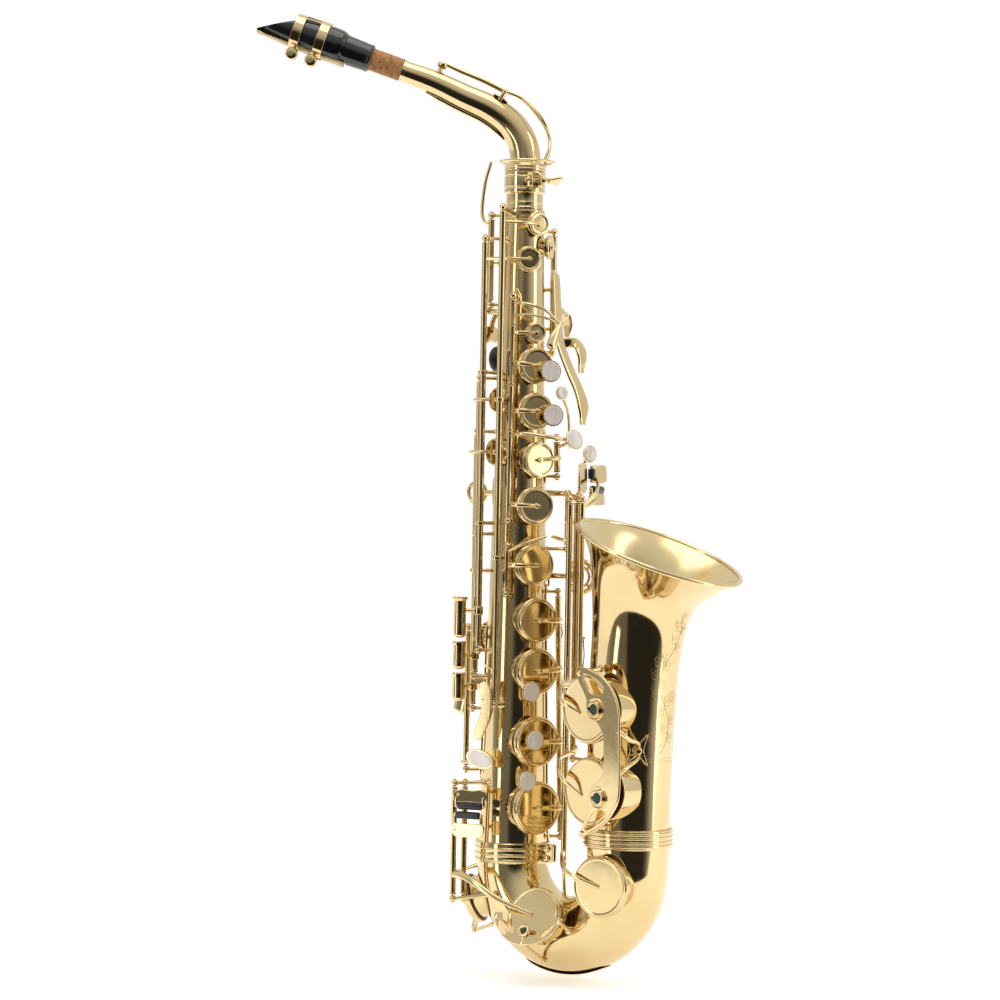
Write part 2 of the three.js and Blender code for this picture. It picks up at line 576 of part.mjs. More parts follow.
function bodyPosts() {
  const held = [
    [upperHinge, 189, 224, UPPER_HINGE_PHI],
    [upperHinge, 242.5, 406, UPPER_HINGE_PHI],
    [lowerHinge, 11, 190.5, LOWER_HINGE_PHI],
    [lowerHinge, 275, 303.5, LOWER_HINGE_PHI],
    [HIGH_FSHARP_LINE, 108.5, 469.5, -84],
    [SIDE_E_LINE, 147, 448, -118],
    [SIDE_C_LINE, 127.5, 346, -128],
    [SIDE_BB_LINE, 104, 307, -138],
    [PALM_LINE, 366.5, 455.5, 62],
    [TRILL_LINE, 58.5, 163, -152],
    [OCTAVE_LINE, 400.5, 466, -146],
  ];
  const posts = held.flatMap(([line, low, high, phi]) => [low, high].map((z) => tubePost(line, z, phi)));
  posts.push(post(tubeFoot(-120, 50), LOW_C_LINE(50)), post(tubeFoot(-130, 50), LOW_EB_LINE(50)));
  posts.push(...[-12, 12].map((y) => post(tubeFoot(180 - y * 3, 396), THUMB_LINE(y))));
  return join(posts, tableBracket());
}

// The bracket that carries the upper ends of the bell keys' rods and the little finger's levers.
function tableBracket() {
  const heads = [CSHARP_LINE, BB_LINE, B_LINE].map((line) => line(259));
  const hub = vec(38, 6, 262.5);
  const fork = [...heads, LEVER_LINE(262)].map((head) => post(hub, head));
  return join(bar(tubeFoot(18, hub.z), hub, 2, 6), fork, post(tubeFoot(14, 222), LEVER_LINE(222)));
}

function bowPosts() {
  const low = -34.5;
  return join(
    post(vec(4, -25.6, -30), LOW_C_LINE(low)),
    post(vec(3, -25.6, -30), LOW_EB_LINE(low)),
    post(vec(48, -3, -31.5), CSHARP_LINE(-6.5)),
  );
}

const bellPosts = () => join(post(vec(72, 0, 70), BB_LINE(70)), post(vec(73.5, 0, 119), B_LINE(119)));

add("body_tube", bodyTube());
add("bow", bow());
add("bell", bell());

const hingeTube = (line, z0, z1) => bar(line(z0), line(z1), HINGE_R, 6);
const hingeBore = (line, z0, z1) => bar(line(z0 - 2), line(z1 + 2), HINGE_BORE, 6);

// The way from a hinge line over the edge of a cup to the middle of its top.
function cupArm(line, z, seat, r = ARM_R) {
  const from = line(z);
  const top = cupTop(seat);
  const raise = (share, height) => {
    const p = from.clone().lerp(top, share);
    return p.addScaledVector(seat.normal, Math.max(0, top.clone().sub(p).dot(seat.normal) + height));
  };
  return arm([from, raise(0.3, -0.6), raise(0.62, 1), top], r);
}

// A pearl touch: a shallow brass button that holds the pearl, on an optional stem.
function pearlTouch(centre, normal, r, stemFrom) {
  const button = turned([[0, 0], [r - 2, 0], [r, 3.1], [0, 3.1]], centre, normal, 10);
  if (!stemFrom) return button;
  return join(button, bar(stemFrom, centre.clone().addScaledVector(normal, 0.8), 1.6, 5));
}

// Whether turning about a-b by a positive angle lifts a cup off its seat.
function lifts(a, b, seat) {
  const axis = b.clone().sub(a).normalize();
  return axis.cross(seat.centre.clone().sub(a)).dot(seat.normal) > 0;
}

// A key is modelled closed on its seat. One that is sprung shut rests there and opens by openDeg; one
// that is sprung open rests raised by openDeg and closes when it is pressed.
function addKey(name, line, z0, z1, seat, openDeg, standsOpen, solids, bored = false) {
  const [from, to] = lifts(line(z0), line(z1), seat) ? [line(z0), line(z1)] : [line(z1), line(z0)];
  let solid = join(hingeTube(line, z0, z1), solids);
  if (bored) solid = solid.subtract(hingeBore(line, z0, z1));
  if (standsOpen) return addTurning(name, solid, from, to, openDeg, [-openDeg, 0]);
  return addTurning(name, solid, from, to, 0, [0, openDeg]);
}

// A point over a seat: `rise` above its rim, `across` towards the player's right, `up` the tube.
function overSeat(seat, rise, across, up) {
  const side = RISE.clone().cross(seat.normal).negate();
  return along(seat.centre, seat.normal, rise).addScaledVector(side, across).add(vec(0, 0, up));
}

// ---------------------------------------------------------------- upper stack
const seatB = seatOnTube("b");
const seatSmallC = seatOnTube("c");
addKey("b_key", upperHinge, 341, 384, seatB, 7, true, [
  padCup(seatB),
  cupArm(upperHinge, 357, seatB),
  padCup(seatSmallC),
  cupArm(upperHinge, 379, seatSmallC, 1.4),
  pearlTouch(overSeat(seatB, 10, -8, -4), seatB.normal, 8, overSeat(seatB, 5.5, -3, -2)),
], true);

const seatA = seatOnTube("a");
addKey("a_key", upperHinge, 308, 340.3, seatA, 7, true, [
  padCup(seatA),
  cupArm(upperHinge, 322, seatA),
  pearlTouch(overSeat(seatA, 10, -10, -3), seatA.normal, 8, overSeat(seatA, 5.5, -6, -1)),
], true);

const seatG = seatOnTube("g");
const gPearl = polar(42, 10, 301);
addKey("g_key", upperHinge, 246, 307.3, seatG, 7, true, [
  padCup(seatG),
  cupArm(upperHinge, 254, seatG),
  arm([upperHinge(304), polar(33.5, -52, 305.5), polar(37.5, -25, 303.5), polar(40, -2, 301.5), gPearl], 1.5),
  pearlTouch(gPearl, polar(1, -10, 0.2), 7.6),
], true);

const seatBis = seatOnTube("bis");
const bisPearl = overSeat(seatA, 12.5, -15, 15.5);
addKey("bis_key", lowerHinge, 278, 300.5, seatBis, 7, true, [
  padCup(seatBis),
  cupArm(lowerHinge, 289, seatBis),
  arm([lowerHinge(296.5), polar(34.5, 21, 300), polar(36, 10, 322), bisPearl], 1.4),
  pearlTouch(bisPearl, seatBis.normal, 5.2),
]);

// The front F lever: a teardrop touch on a forked arm. It lifts the high F key by its own arm.
const frontTip = polar(36, -6, 386);
const frontLow = polar(36.5, -20, 370);
addKey("front_f_key", upperHinge, 384.7, 403, seatSmallC, 6, false, [
  arm([upperHinge(401), polar(31, -55, 400), polar(34, -30, 396), frontTip], 1.4),
  arm([upperHinge(391), polar(30, -52, 392), polar(33, -28, 390), frontTip], 1.2),
  bar(frontTip, frontLow, 2, 8, 4.4),
  ball(frontLow, 4.5),
], true);

const seatGsharp = seatOnTube("gsharp");
addKey("gsharp_key", upperHinge, 192, 221, seatGsharp, 8, false, [
  padCup(seatGsharp),
  cupArm(upperHinge, 210, seatGsharp),
  arm([upperHinge(219.5), polar(33, -48, 226), polar(36.5, -24, 231)], 1.4),
]);
add("upper_stack_rod", bar(upperHinge(245.3), upperHinge(403.2), ROD_R, 8), STEEL);

// ---------------------------------------------------------------- lower stack
const seatFsharp = seatOnTube("fsharp");
addKey("fsharp_key", lowerHinge, 151.5, 187.5, seatFsharp, 6, true, [
  padCup(seatFsharp),
  cupArm(lowerHinge, 170, seatFsharp),
], true);

const seatF = seatOnTube("f");
addKey("f_key", lowerHinge, 108, 151.2, seatF, 6, true, [
  padCup(seatF),
  cupArm(lowerHinge, 135, seatF),
  pearlTouch(overSeat(seatF, 10.5, 11, -14), seatF.normal, 7.6, overSeat(seatF, 5.4, 7, -9)),
], true);

const seatE = seatOnTube("e");
addKey("e_key", lowerHinge, 60, 107.7, seatE, 6, true, [
  padCup(seatE),
  cupArm(lowerHinge, 82, seatE),
  pearlTouch(overSeat(seatE, 10.5, 8, 2), seatE.normal, 7.6, overSeat(seatE, 5.6, 6, 1.5)),
], true);

const seatD = seatOnTube("d");
addKey("d_key", lowerHinge, 14, 59.7, seatD, 6, true, [
  padCup(seatD),
  cupArm(lowerHinge, 34, seatD),
  pearlTouch(overSeat(seatD, 10.5, 15, 21), seatD.normal, 7.6, overSeat(seatD, 5.4, 10, 13)),
], true);
add("lower_stack_rod", bar(lowerHinge(13.8), lowerHinge(187.7), ROD_R, 8), STEEL);

// ---------------------------------------------------------------- palm keys
function palmTouch(root, way, end, height, facing) {
  const blade = plate(roundedRect(11, height, 3), 2, end, facing, RISE);
  return join(arm([root, ...way], 1.8), blade);
}
const palmF = seatOnTube("palm_f");
const palmFWay = [polar(30.5, 55, 426), polar(32.5, 43, 400), polar(33, 41, 362), polar(38, 40, 346),
  polar(46.5, 40, 336)];
addKey("palm_f_key", PALM_LINE, 420.6, 452.7, palmF, 9, false, [
  padCup(palmF),
  cupArm(PALM_LINE, 443, palmF, 1.5),
  palmTouch(PALM_LINE(427), palmFWay, polar(47.5, 40, 325), 24, polar(1, -50, 0)),
]);
const palmEb = seatOnTube("palm_eb");
addKey("palm_eb_key", PALM_LINE, 397, 420.3, palmEb, 9, false, [
  padCup(palmEb),
  cupArm(PALM_LINE, 413, palmEb, 1.5),
  palmTouch(PALM_LINE(400), [polar(33, 68, 398), polar(42, 72, 394)],
    polar(43, 72, 388), 20, polar(1, -18, 0)),
]);
const palmD = seatOnTube("palm_d");
addKey("palm_d_key", PALM_LINE, 369.3, 396.7, palmD, 9, false, [
  padCup(palmD),
  cupArm(PALM_LINE, 384, palmD, 1.5),
  palmTouch(PALM_LINE(373), [polar(34, 59, 374), polar(42, 54, 374), polar(46, 52, 371)],
    polar(46.5, 52, 362), 22, polar(1, -38, 0)),
]);

// ---------------------------------------------------------------- side keys
// The three touches of the right forefinger stand above each other beside the rods.
const SIDE_TOUCH = upright(45, -125);
function sideTouch(line, z0, z1, from, flare = 0) {
  const low = SIDE_TOUCH(z0);
  const height = z1 - z0;
  const profile = [[0, 0], [3, 0], [4.8, 2], [4.8, height - 3], [5.1 + flare, height], [0, height]];
  return join(turned(profile, low, RISE, 8), bar(line(from), SIDE_TOUCH(from), 1.5, 6));
}
// An arm that leaves its rod outwards, passes over its neighbours and comes down on its cup.
const overArm = (line, z, seat, ...way) => arm([line(z), ...way, cupTop(seat)], 1.4);

const highE = seatOnTube("high_e");
addKey("side_e_key", SIDE_E_LINE, 149.8, 445.2, highE, 9, false, [
  padCup(highE),
  overArm(SIDE_E_LINE, 433, highE, polar(27, -100, 433), polar(25.5, -72, 433)),
  sideTouch(SIDE_E_LINE, 156, 186, 176, 0.8),
]);
const sideC = seatOnTube("side_c");
addKey("side_c_key", SIDE_C_LINE, 130.3, 343.2, sideC, 8, false, [
  padCup(sideC),
  overArm(SIDE_C_LINE, 330, sideC, polar(37, -122, 330), polar(36, -108.5, 330)),
  sideTouch(SIDE_C_LINE, 133, 153.5, 143),
]);
const sideBb = seatOnTube("side_bb");
addKey("side_bb_key", SIDE_BB_LINE, 106.8, 304.2, sideBb, 8, false, [
  padCup(sideBb),
  overArm(SIDE_BB_LINE, 292, sideBb, polar(37.2, -132, 292), polar(37.4, -120, 292), polar(36, -110, 292)),
  sideTouch(SIDE_BB_LINE, 110, 130.6, 120),
]);

const highFsharp = seatOnTube("high_fsharp");
addKey("high_fsharp_key", HIGH_FSHARP_LINE, 111.3, 466.7, highFsharp, 9, false, [
  padCup(highFsharp),
  overArm(HIGH_FSHARP_LINE, 459, highFsharp, polar(29, -60, 459), polar(24, -38, 459)),
  bar(HIGH_FSHARP_LINE(114), polar(38.5, -94, 112), 1.6, 6),
  plate(roundedRect(14, 44, 5), 2.2, polar(38.5, -94, 104), polar(1, 10, 0), RISE),
]);

const trill = seatOnTube("trill_fsharp");
addKey("fsharp_trill_key", TRILL_LINE, 61.3, 160.2, trill, 7, false, [
  padCup(trill),
  cupArm(TRILL_LINE, 156, trill, 1.5),
  arm([TRILL_LINE(64), polar(40, -132, 65), polar(39, -112, 66), polar(36.5, -98, 67)], 1.5),
  pearlTouch(polar(36, -98, 67), polar(1, -98, 0), 8),
]);

// ---------------------------------------------------------------- octave mechanism
addTurning("octave_thumb_lever", join(
  bar(THUMB_LINE(-9), THUMB_LINE(9), HINGE_R, 8),
  arm([THUMB_LINE(0), vec(-26.5, 0, 388), vec(-27.5, 0, 381)], 1.8),
  plate(roundedRect(18, 12, 4), 2.4, vec(-27.8, 0, 379), SIDEWAYS, RISE),
  arm([THUMB_LINE(-6.5), vec(-24.5, -8.5, 404), vec(-25, -9.5, 411)], 1.4),
), THUMB_LINE(9), THUMB_LINE(-9), 0, [0, 5]);

addKey("body_octave_key", OCTAVE_LINE, 403.3, 463.2, BODY_PIP, 8, false, [
  padCup(BODY_PIP),
  arm([OCTAVE_LINE(432), polar(26, -166, 432), cupTop(BODY_PIP)], 1.3),
  arm([OCTAVE_LINE(412), polar(29, -155, 412), vec(-29.4, -9.5, 410)], 1.3),
  arm([OCTAVE_LINE(459), polar(30, -150, 463), polar(29.5, -150, 488), polar(25.3, -150, 505)], 1.3),
]);

const BACK = vec(-1, 0, 0);
const restFoot = vec(-(tubeR(361) + CLEAR), 0, 361);
add("thumb_rest", turned([[0, 0], [7, 0], [9.5, 4], [9, 7], [0, 7]], restFoot, BACK, 12), BLACK_RUBBER);

// The hook that the right thumb carries the weight on.
function thumbHook() {
  const root = tubeR(96) + CLEAR;
  const side = new THREE.Shape();
  side.moveTo(root, 96);
  side.lineTo(root, 124);
  side.lineTo(root + 8, 124);
  side.quadraticCurveTo(root + 27, 122, root + 28, 98);
  side.lineTo(root + 25, 98);
  side.quadraticCurveTo(root + 24, 116, root + 8, 120);
  side.lineTo(root + 2, 120);
  side.lineTo(root + 2, 96);
  return plate(side, 13, vec(0, 0, 0), BACK, RISE, 4);
}
add("thumb_hook", thumbHook());

function strapRing() {
  const [x, y, z] = STRAP_RING;
  const surface = tubeR(z) + CLEAR;
  return join(
    uprightHoop(vec(x, y, z), 7.6, 1.7),
    bar(vec(-surface - 0.8, 0, z), vec(-surface - 9.5, 0, z), 2.4, 8),
    plate(roundedRect(9, 26, 3), 1.6, vec(-surface - 0.9, 0, z), SIDEWAYS, RISE),
  );
}
add("strap_ring", strapRing());

// ---------------------------------------------------------------- rollers
const PIN_R = 0.7;
const ROLLER_R = 2.7;

// The pin that a roller turns on, with a lug at each end; it belongs to a key.
function rollerPin(a, b, towardsPlate) {
  const step = b.clone().sub(a).normalize().multiplyScalar(1.4);
  const ends = [a.clone().sub(step), b.clone().add(step)];
  const lugs = ends.map((end) => bar(end, end.clone().add(towardsPlate), 1, 4));
  return join(bar(...ends, PIN_R, 6), lugs);
}

// The roller itself, carried by its key's rest pose.
function addRoller(name, a, b, key) {
  const bore = bar(a.clone().lerp(b, -0.1), a.clone().lerp(b, 1.1), PIN_R + 0.45, 6);
  const pivot = key.parent;
  const origin = pivot.position;
  const geometry = geometryOf(bar(a, b, ROLLER_R, 8).subtract(bore));
  const mesh = new THREE.Mesh(geometry.translate(-origin.x, -origin.y, -origin.z), BLACK_RUBBER);
  mesh.name = name;
  const turn = (p) => p.clone().sub(origin).applyQuaternion(pivot.quaternion).add(origin);
  const axis = turn(b).sub(turn(a)).normalize();
  mesh.userData.joint = { point: turn(a).toArray(), axis: axis.toArray(), carrier: key.name };
  pivot.add(mesh);
}

// ---------------------------------------------------------------- little finger levers of the left hand
const TABLE_WIDE = vec(-0.2, 0.98, 0).normalize();
const onTable = (y, z) => vec(49.2 - 0.2 * y, y, z);
const tablePlate = (y, z, wide, high) =>
  plate(roundedRect(wide, high, 3), 2.2, onTable(y, z), TABLE_WIDE, RISE);

addTurning("gsharp_lever", join(
  bar(LEVER_LINE(224.8), LEVER_LINE(241.5), HINGE_R, 6),
  arm([LEVER_LINE(237), vec(36, 22, 245), vec(35, 33, 272), vec(39.5, 36, 290)], 1.6),
  turned([[0, 0], [5, 0], [6.5, 3], [0, 3]], vec(39, 36, 293), vec(0.98, 0.2, 0), 10),
  arm([LEVER_LINE(228), vec(40.5, -4, 229), vec(39, -14, 231)], 1.5),
), LEVER_LINE(224.8), LEVER_LINE(241.5), 0, [0, 6]);

addTurning("csharp_lever", join(
  bar(LEVER_LINE(242), LEVER_LINE(259.2), HINGE_R, 6),
  arm([LEVER_LINE(256.5), vec(42, 14, 262), vec(46, 14.5, 270)], 1.6),
  tablePlate(13, 274, 13, 22),
  bar(LEVER_LINE(250), vec(41.2, 4.6, 250), 1.4, 6),
), LEVER_LINE(242), LEVER_LINE(259.2), 0, [0, 6]);

// The arms of the bell keys end short of the middle of their cups.
const bellCupSpot = (seat) => overSeat(seat, CUP_H - 0.3, 6, -3);
const B_ROLLER = [onTable(24.5, 273.5), onTable(24.5, 281)];
const BB_ROLLER = [onTable(27, 266), onTable(43, 266)];
const lowBKey = addKey("low_b_key", B_LINE, 121.8, 256.2, LOW_B, 5, true, [
  padCup(LOW_B),
  arm([B_LINE(126), vec(62, -30, 124), vec(76, -47, 115), bellCupSpot(LOW_B)], 2),
  arm([B_LINE(253), vec(57, 14, 264), vec(42.6, 33, 276)], 1.7),
  tablePlate(38, 277, 20, 13),
  rollerPin(...B_ROLLER, TABLE_WIDE.clone().multiplyScalar(5)),
]);
const lowBbKey = addKey("low_bb_key", BB_LINE, 72.8, 256.2, LOW_BB, 5, true, [
  padCup(LOW_BB),
  arm([BB_LINE(77), vec(57, -3, 77), vec(62, -30, 72), vec(78, -47, 61), bellCupSpot(LOW_BB)], 2),
  arm([BB_LINE(251), vec(49, 16, 254), vec(43, 33, 258)], 1.7),
  tablePlate(35, 258.5, 24, 9),
  rollerPin(...BB_ROLLER, RISE.clone().multiplyScalar(-6)),
]);
addRoller("low_b_roller", ...B_ROLLER, lowBKey);
addRoller("low_bb_roller", ...BB_ROLLER, lowBbKey);
addKey("low_csharp_key", CSHARP_LINE, -3.7, 256.2, LOW_CSHARP, 5, false, [
  padCup(LOW_CSHARP),
  arm([CSHARP_LINE(2), vec(58, -24, 2), vec(74, -42, -6), cupTop(LOW_CSHARP)], 2),
  bar(CSHARP_LINE(250), vec(43.4, 2, 250), 1.4, 6),
]);

// ---------------------------------------------------------------- little finger levers of the right hand
const RH_WIDE = vec(0.97, 0.24, 0).normalize();
const onRhTable = (across, z) => vec(-9.5, -43, z).addScaledVector(RH_WIDE, across);
const rhPlate = (z, high) => plate(roundedRect(25, high, 3), 2.2, onRhTable(0, z), RH_WIDE, RISE);
const EB_ROLLER = [onRhTable(-9, 34.6), onRhTable(9, 34.6)];
const C_ROLLER = [onRhTable(-9, 28), onRhTable(9, 28)];
const lowEbKey = addKey("low_eb_key", LOW_EB_LINE, -31.7, 47.2, LOW_EB, 6, false, [
  padCup(LOW_EB),
  arm([LOW_EB_LINE(-27), vec(-27, -22, -31), cupTop(LOW_EB)], 1.7),
  bar(LOW_EB_LINE(43), onRhTable(-9, 43), 1.7, 6),
  rhPlate(42, 9),
  rollerPin(...EB_ROLLER, RISE.clone().multiplyScalar(6)),
]);
const lowCKey = addKey("low_c_key", LOW_C_LINE, -31.7, 47.2, LOW_C, 5, true, [
  padCup(LOW_C),
  arm([LOW_C_LINE(-16), vec(-8, -47, -16), vec(20, -45, -29), cupTop(LOW_C)], 1.9),
  bar(LOW_C_LINE(17), onRhTable(-10, 17), 1.7, 6),
  rhPlate(17, 10),
  rollerPin(...C_ROLLER, RISE.clone().multiplyScalar(-6)),
]);
addRoller("low_eb_roller", ...EB_ROLLER, lowEbKey);
addRoller("low_c_roller", ...C_ROLLER, lowCKey);

// ---------------------------------------------------------------- key guards
// Where a leg that comes down from p against the normal meets the bow, just off its surface.
const LEG_STEP = 0.5;
function bowFoot(p, normal) {
  const foot = p.clone();
  for (let gap = 1; gap > 0;) {
    foot.addScaledVector(normal, -LEG_STEP);
    const angle = Math.atan2(-(foot.z + BOW_DROP), -(foot.x - BOW_R));
    const middle = onBow(THREE.MathUtils.radToDeg(angle)).point;
    gap = foot.distanceTo(middle) - bowR(0.1 + 0.8 * (angle / Math.PI)) - 2.2;
  }
  return foot;
}

// A crescent round the edge of a cup on three legs, with a tongue and boss over the cup for its bumper.
function crescentGuard(seat, height, middle, halfSpan) {
  const right = seat.normal.clone().cross(RISE).normalize().negate();
  const up = seat.normal.clone().cross(right);
  const [rIn, rOut] = [seat.cup, seat.cup + 6.5];
  const at = (r, angle, lift) => along(seat.centre, seat.normal, lift)
    .addScaledVector(right, r * Math.cos(rad(angle))).addScaledVector(up, r * Math.sin(rad(angle)));
  const shape = new THREE.Shape();
  shape.absarc(0, 0, rOut, rad(middle - halfSpan), rad(middle + halfSpan), false);
  shape.absarc(0, 0, rIn, rad(middle + halfSpan), rad(middle - halfSpan), true);
  const legs = [-0.92, 0, 0.92].map((share) => {
    const top = at(rOut - 1.5, middle + share * halfSpan, height);
    return bar(top, bowFoot(top, seat.normal), 1.4, 4);
  });
  const tongue = bar(at(rOut - 2, middle, height), at(rIn - 4, middle, height), 2, 4);
  const boss = bar(at(rIn - 4, middle, height - 1.2), at(rIn - 4, middle, height + 3), 4.5, 8);
  return join(plate(shape, 1.8, at(0, 0, height), right, up, 4), legs, tongue, boss);
}
add("low_c_guard", crescentGuard(LOW_C, 17, -90, 78));
add("low_eb_guard", crescentGuard(LOW_EB, 13.8, 180, 80));

// The guard over both bell keys: a plate with two lobes, a boss over each cup and legs to the bell.
const BOSS_R = 8;
function bellKeyGuard() {
  const normal = LOW_B.normal;
  const right = normal.clone().cross(RISE).normalize().negate();
  const origin = vec(105, -54.7, 0);
  const at = (x, z, out = 0) => along(origin, right, x).addScaledVector(normal, out).add(vec(0, 0, z));
  const outerEdge = [[-19, 140], [2.5, 136], [15, 125], [21, 107], [22, 55], [16, 40.5], [5, 29], [-13.5, 21]];
  const lowerEdge = [[-13, 23], [-10, 31.5], [-4.4, 41.5], [-4.4, 55], [1.5, 60], [7.5, 71], [7.5, 86]];
  const upperEdge = [[5.3, 97], [-1, 104], [-9, 108], [-9, 115], [-13, 124], [-18, 134]];
  const sheet = plate(outline([...outerEdge, ...lowerEdge, ...upperEdge]), 1.8, origin, right, RISE);
  const bosses = [[-1.1, 111.6], [3.6, 49.8]].map(([x, z]) => bar(at(x, z, -1.8), at(x, z, 3), BOSS_R, 12));
  const footPlace = vec(120.4, -25.3, 82);
  const legs = [
    bar(at(-16, 136), vec(95, -33.6, 139), 1.6, 5),
    bar(at(-11.5, 24.4), vec(89, -29.6, 27.2), 1.6, 5),
    bar(at(20, 95), footPlace, 1.7, 5),
    bar(at(20, 69), footPlace, 1.7, 5),
  ];
  const foot = plate(roundedRect(12, 18, 4), 1.6, footPlace, polar(1, 40, 0), RISE);
  return join(sheet, bosses, legs, foot);
}
add("bell_key_guard", bellKeyGuard());

export default saxophone;
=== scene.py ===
"""Alto saxophone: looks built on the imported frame, piece by piece.

Lengths are in millimetres and the working frame is the part's own: +Z up the body tube, +X towards the
bell, -Y the player's right, origin at the joint of body tube and bow. Pieces turn into the row's frame
as they are made. Keys are built closed, then turned to their rest pose about their hinge.
"""
import json
import math
import bpy
from mathutils import Matrix, Vector


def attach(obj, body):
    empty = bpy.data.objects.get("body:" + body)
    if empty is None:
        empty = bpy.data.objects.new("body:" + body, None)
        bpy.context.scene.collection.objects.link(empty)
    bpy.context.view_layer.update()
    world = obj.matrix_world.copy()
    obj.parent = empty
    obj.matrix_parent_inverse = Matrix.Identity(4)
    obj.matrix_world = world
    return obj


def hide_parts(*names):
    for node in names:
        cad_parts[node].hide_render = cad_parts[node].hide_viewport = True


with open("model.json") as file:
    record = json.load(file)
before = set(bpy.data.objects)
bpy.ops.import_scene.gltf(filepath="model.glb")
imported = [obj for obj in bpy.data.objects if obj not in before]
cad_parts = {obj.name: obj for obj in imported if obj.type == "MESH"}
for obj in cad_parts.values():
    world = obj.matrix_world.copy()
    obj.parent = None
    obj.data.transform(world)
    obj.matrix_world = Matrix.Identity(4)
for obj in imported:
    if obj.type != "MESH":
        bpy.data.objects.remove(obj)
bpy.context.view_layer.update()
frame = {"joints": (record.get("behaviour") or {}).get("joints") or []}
JOINTS = {j["name"]: j for j in frame["joints"]}

# ------------------------------------------------------------------ the working frame
MM = 0.001
SWIVEL_Z = 498
ORIGIN = Vector(JOINTS["neck_swivel"]["pos_m"]) / MM - Vector((0, 0, SWIVEL_Z))
TO_ROW = Matrix.Scale(MM, 4) @ Matrix.Translation(ORIGIN)
UP = Vector((0, 0, 1))


def V(x, y, z=0.0):
    return Vector((x, y, z))


def cosd(a):
    return math.cos(math.radians(a))


def sind(a):
    return math.sin(math.radians(a))


def polar(rho, phi, z=0.0):
    return V(rho * cosd(phi), rho * sind(phi), z)


def lerp(a, b, t):
    return a + (b - a) * t


def tube_r(z):
    return 26 - 0.0266 * z


# ------------------------------------------------------------------ curves
def spline(points, per=10, closed=False):
    """Centripetal Catmull-Rom through the points."""
    pts = [Vector(p) for p in points]
    n = len(pts)
    if closed:
        ext = [pts[-1]] + pts + [pts[0], pts[1]]
        spans = n
    else:
        ext = [2 * pts[0] - pts[1]] + pts + [2 * pts[-1] - pts[-2]]
        spans = n - 1
    out = []
    for i in range(spans):
        p0, p1, p2, p3 = ext[i:i + 4]
        t1 = (p1 - p0).length ** 0.5 or 1
        t2 = t1 + ((p2 - p1).length ** 0.5 or 1)
        t3 = t2 + ((p3 - p2).length ** 0.5 or 1)
        for k in range(per):
            t = lerp(t1, t2, k / per)
            a1 = p0 * ((t1 - t) / t1) + p1 * (t / t1)
            a2 = p1 * ((t2 - t) / (t2 - t1)) + p2 * ((t - t1) / (t2 - t1))
            a3 = p2 * ((t3 - t) / (t3 - t2)) + p3 * ((t - t2) / (t3 - t2))
            b1 = a1 * ((t2 - t) / t2) + a2 * (t / t2)
            b2 = a2 * ((t3 - t) / (t3 - t1)) + a3 * ((t - t1) / (t3 - t1))
            out.append(b1 * ((t2 - t) / (t2 - t1)) + b2 * ((t - t1) / (t2 - t1)))
    if not closed:
        out.append(pts[-1])
    return out


class Path:
    """A centre line with points and tangents by share of its length."""

    def __init__(self, points):
        self.p = points
        self.s = [0.0]
        for a, b in zip(points, points[1:]):
            self.s.append(self.s[-1] + (b - a).length)
        self.length = self.s[-1]

    def at(self, share):
        s = min(max(share, 0), 1) * self.length
        lo, hi = 0, len(self.s) - 1
        while hi - lo > 1:
            mid = (lo + hi) // 2
            if self.s[mid] <= s:
                lo = mid
            else:
                hi = mid
        t = (s - self.s[lo]) / (self.s[hi] - self.s[lo])
        return self.p[lo].lerp(self.p[hi], t)

    def tangent(self, share):
        e = 0.004
        return (self.at(share + e) - self.at(share - e)).normalized()


def rounded(profile, r=0.35, steps=3):
    """The same profile with its corners turned into small arcs, so that edges catch the light."""
    out = [profile[0]]
    for a, b, c in zip(profile, profile[1:], profile[2:]):
        a, b, c = Vector(a), Vector(b), Vector(c)
        la, lc = (a - b).length, (c - b).length
        cut = min(r, la * 0.45, lc * 0.45)
        if cut < 0.02:
            out.append(tuple(b))
            continue
        p, q = b + (a - b) * cut / la, b + (c - b) * cut / lc
        for k in range(steps + 1):
            t = k / steps
            out.append(tuple(p * (1 - t) ** 2 + b * 2 * t * (1 - t) + q * t * t))
    out.append(profile[-1])
    return out


def rounded_rect(w, h, r, steps=6):
    out = []
    for cx, cy, start in ((w / 2 - r, h / 2 - r, 0), (r - w / 2, h / 2 - r, 90),
                          (r - w / 2, r - h / 2, 180), (w / 2 - r, r - h / 2, 270)):
        out += [(cx + r * cosd(start + 90 * k / steps), cy + r * sind(start + 90 * k / steps))
                for k in range(steps + 1)]
    return out


def smooth_loop(points, per=8):
    return [(p.x, p.y) for p in spline([V(x, y) for x, y in points], per, closed=True)]


# ------------------------------------------------------------------ mesh pieces
def circle(n, r=1.0, flat=1.0):
    """The n points of a circle, or of an ellipse where flat is not 1."""
    return [(r * cosd(360 * k / n), r * flat * sind(360 * k / n)) for k in range(n)]


def placed(name, data):
    """A new object of the data, linked into the scene."""
    obj = bpy.data.objects.new(name, data)
    bpy.context.scene.collection.objects.link(obj)
    return obj


def applied(obj):
    """The object's mesh with its curve fill or its modifiers applied."""
    return bpy.data.meshes.new_from_object(obj.evaluated_get(bpy.context.evaluated_depsgraph_get()))


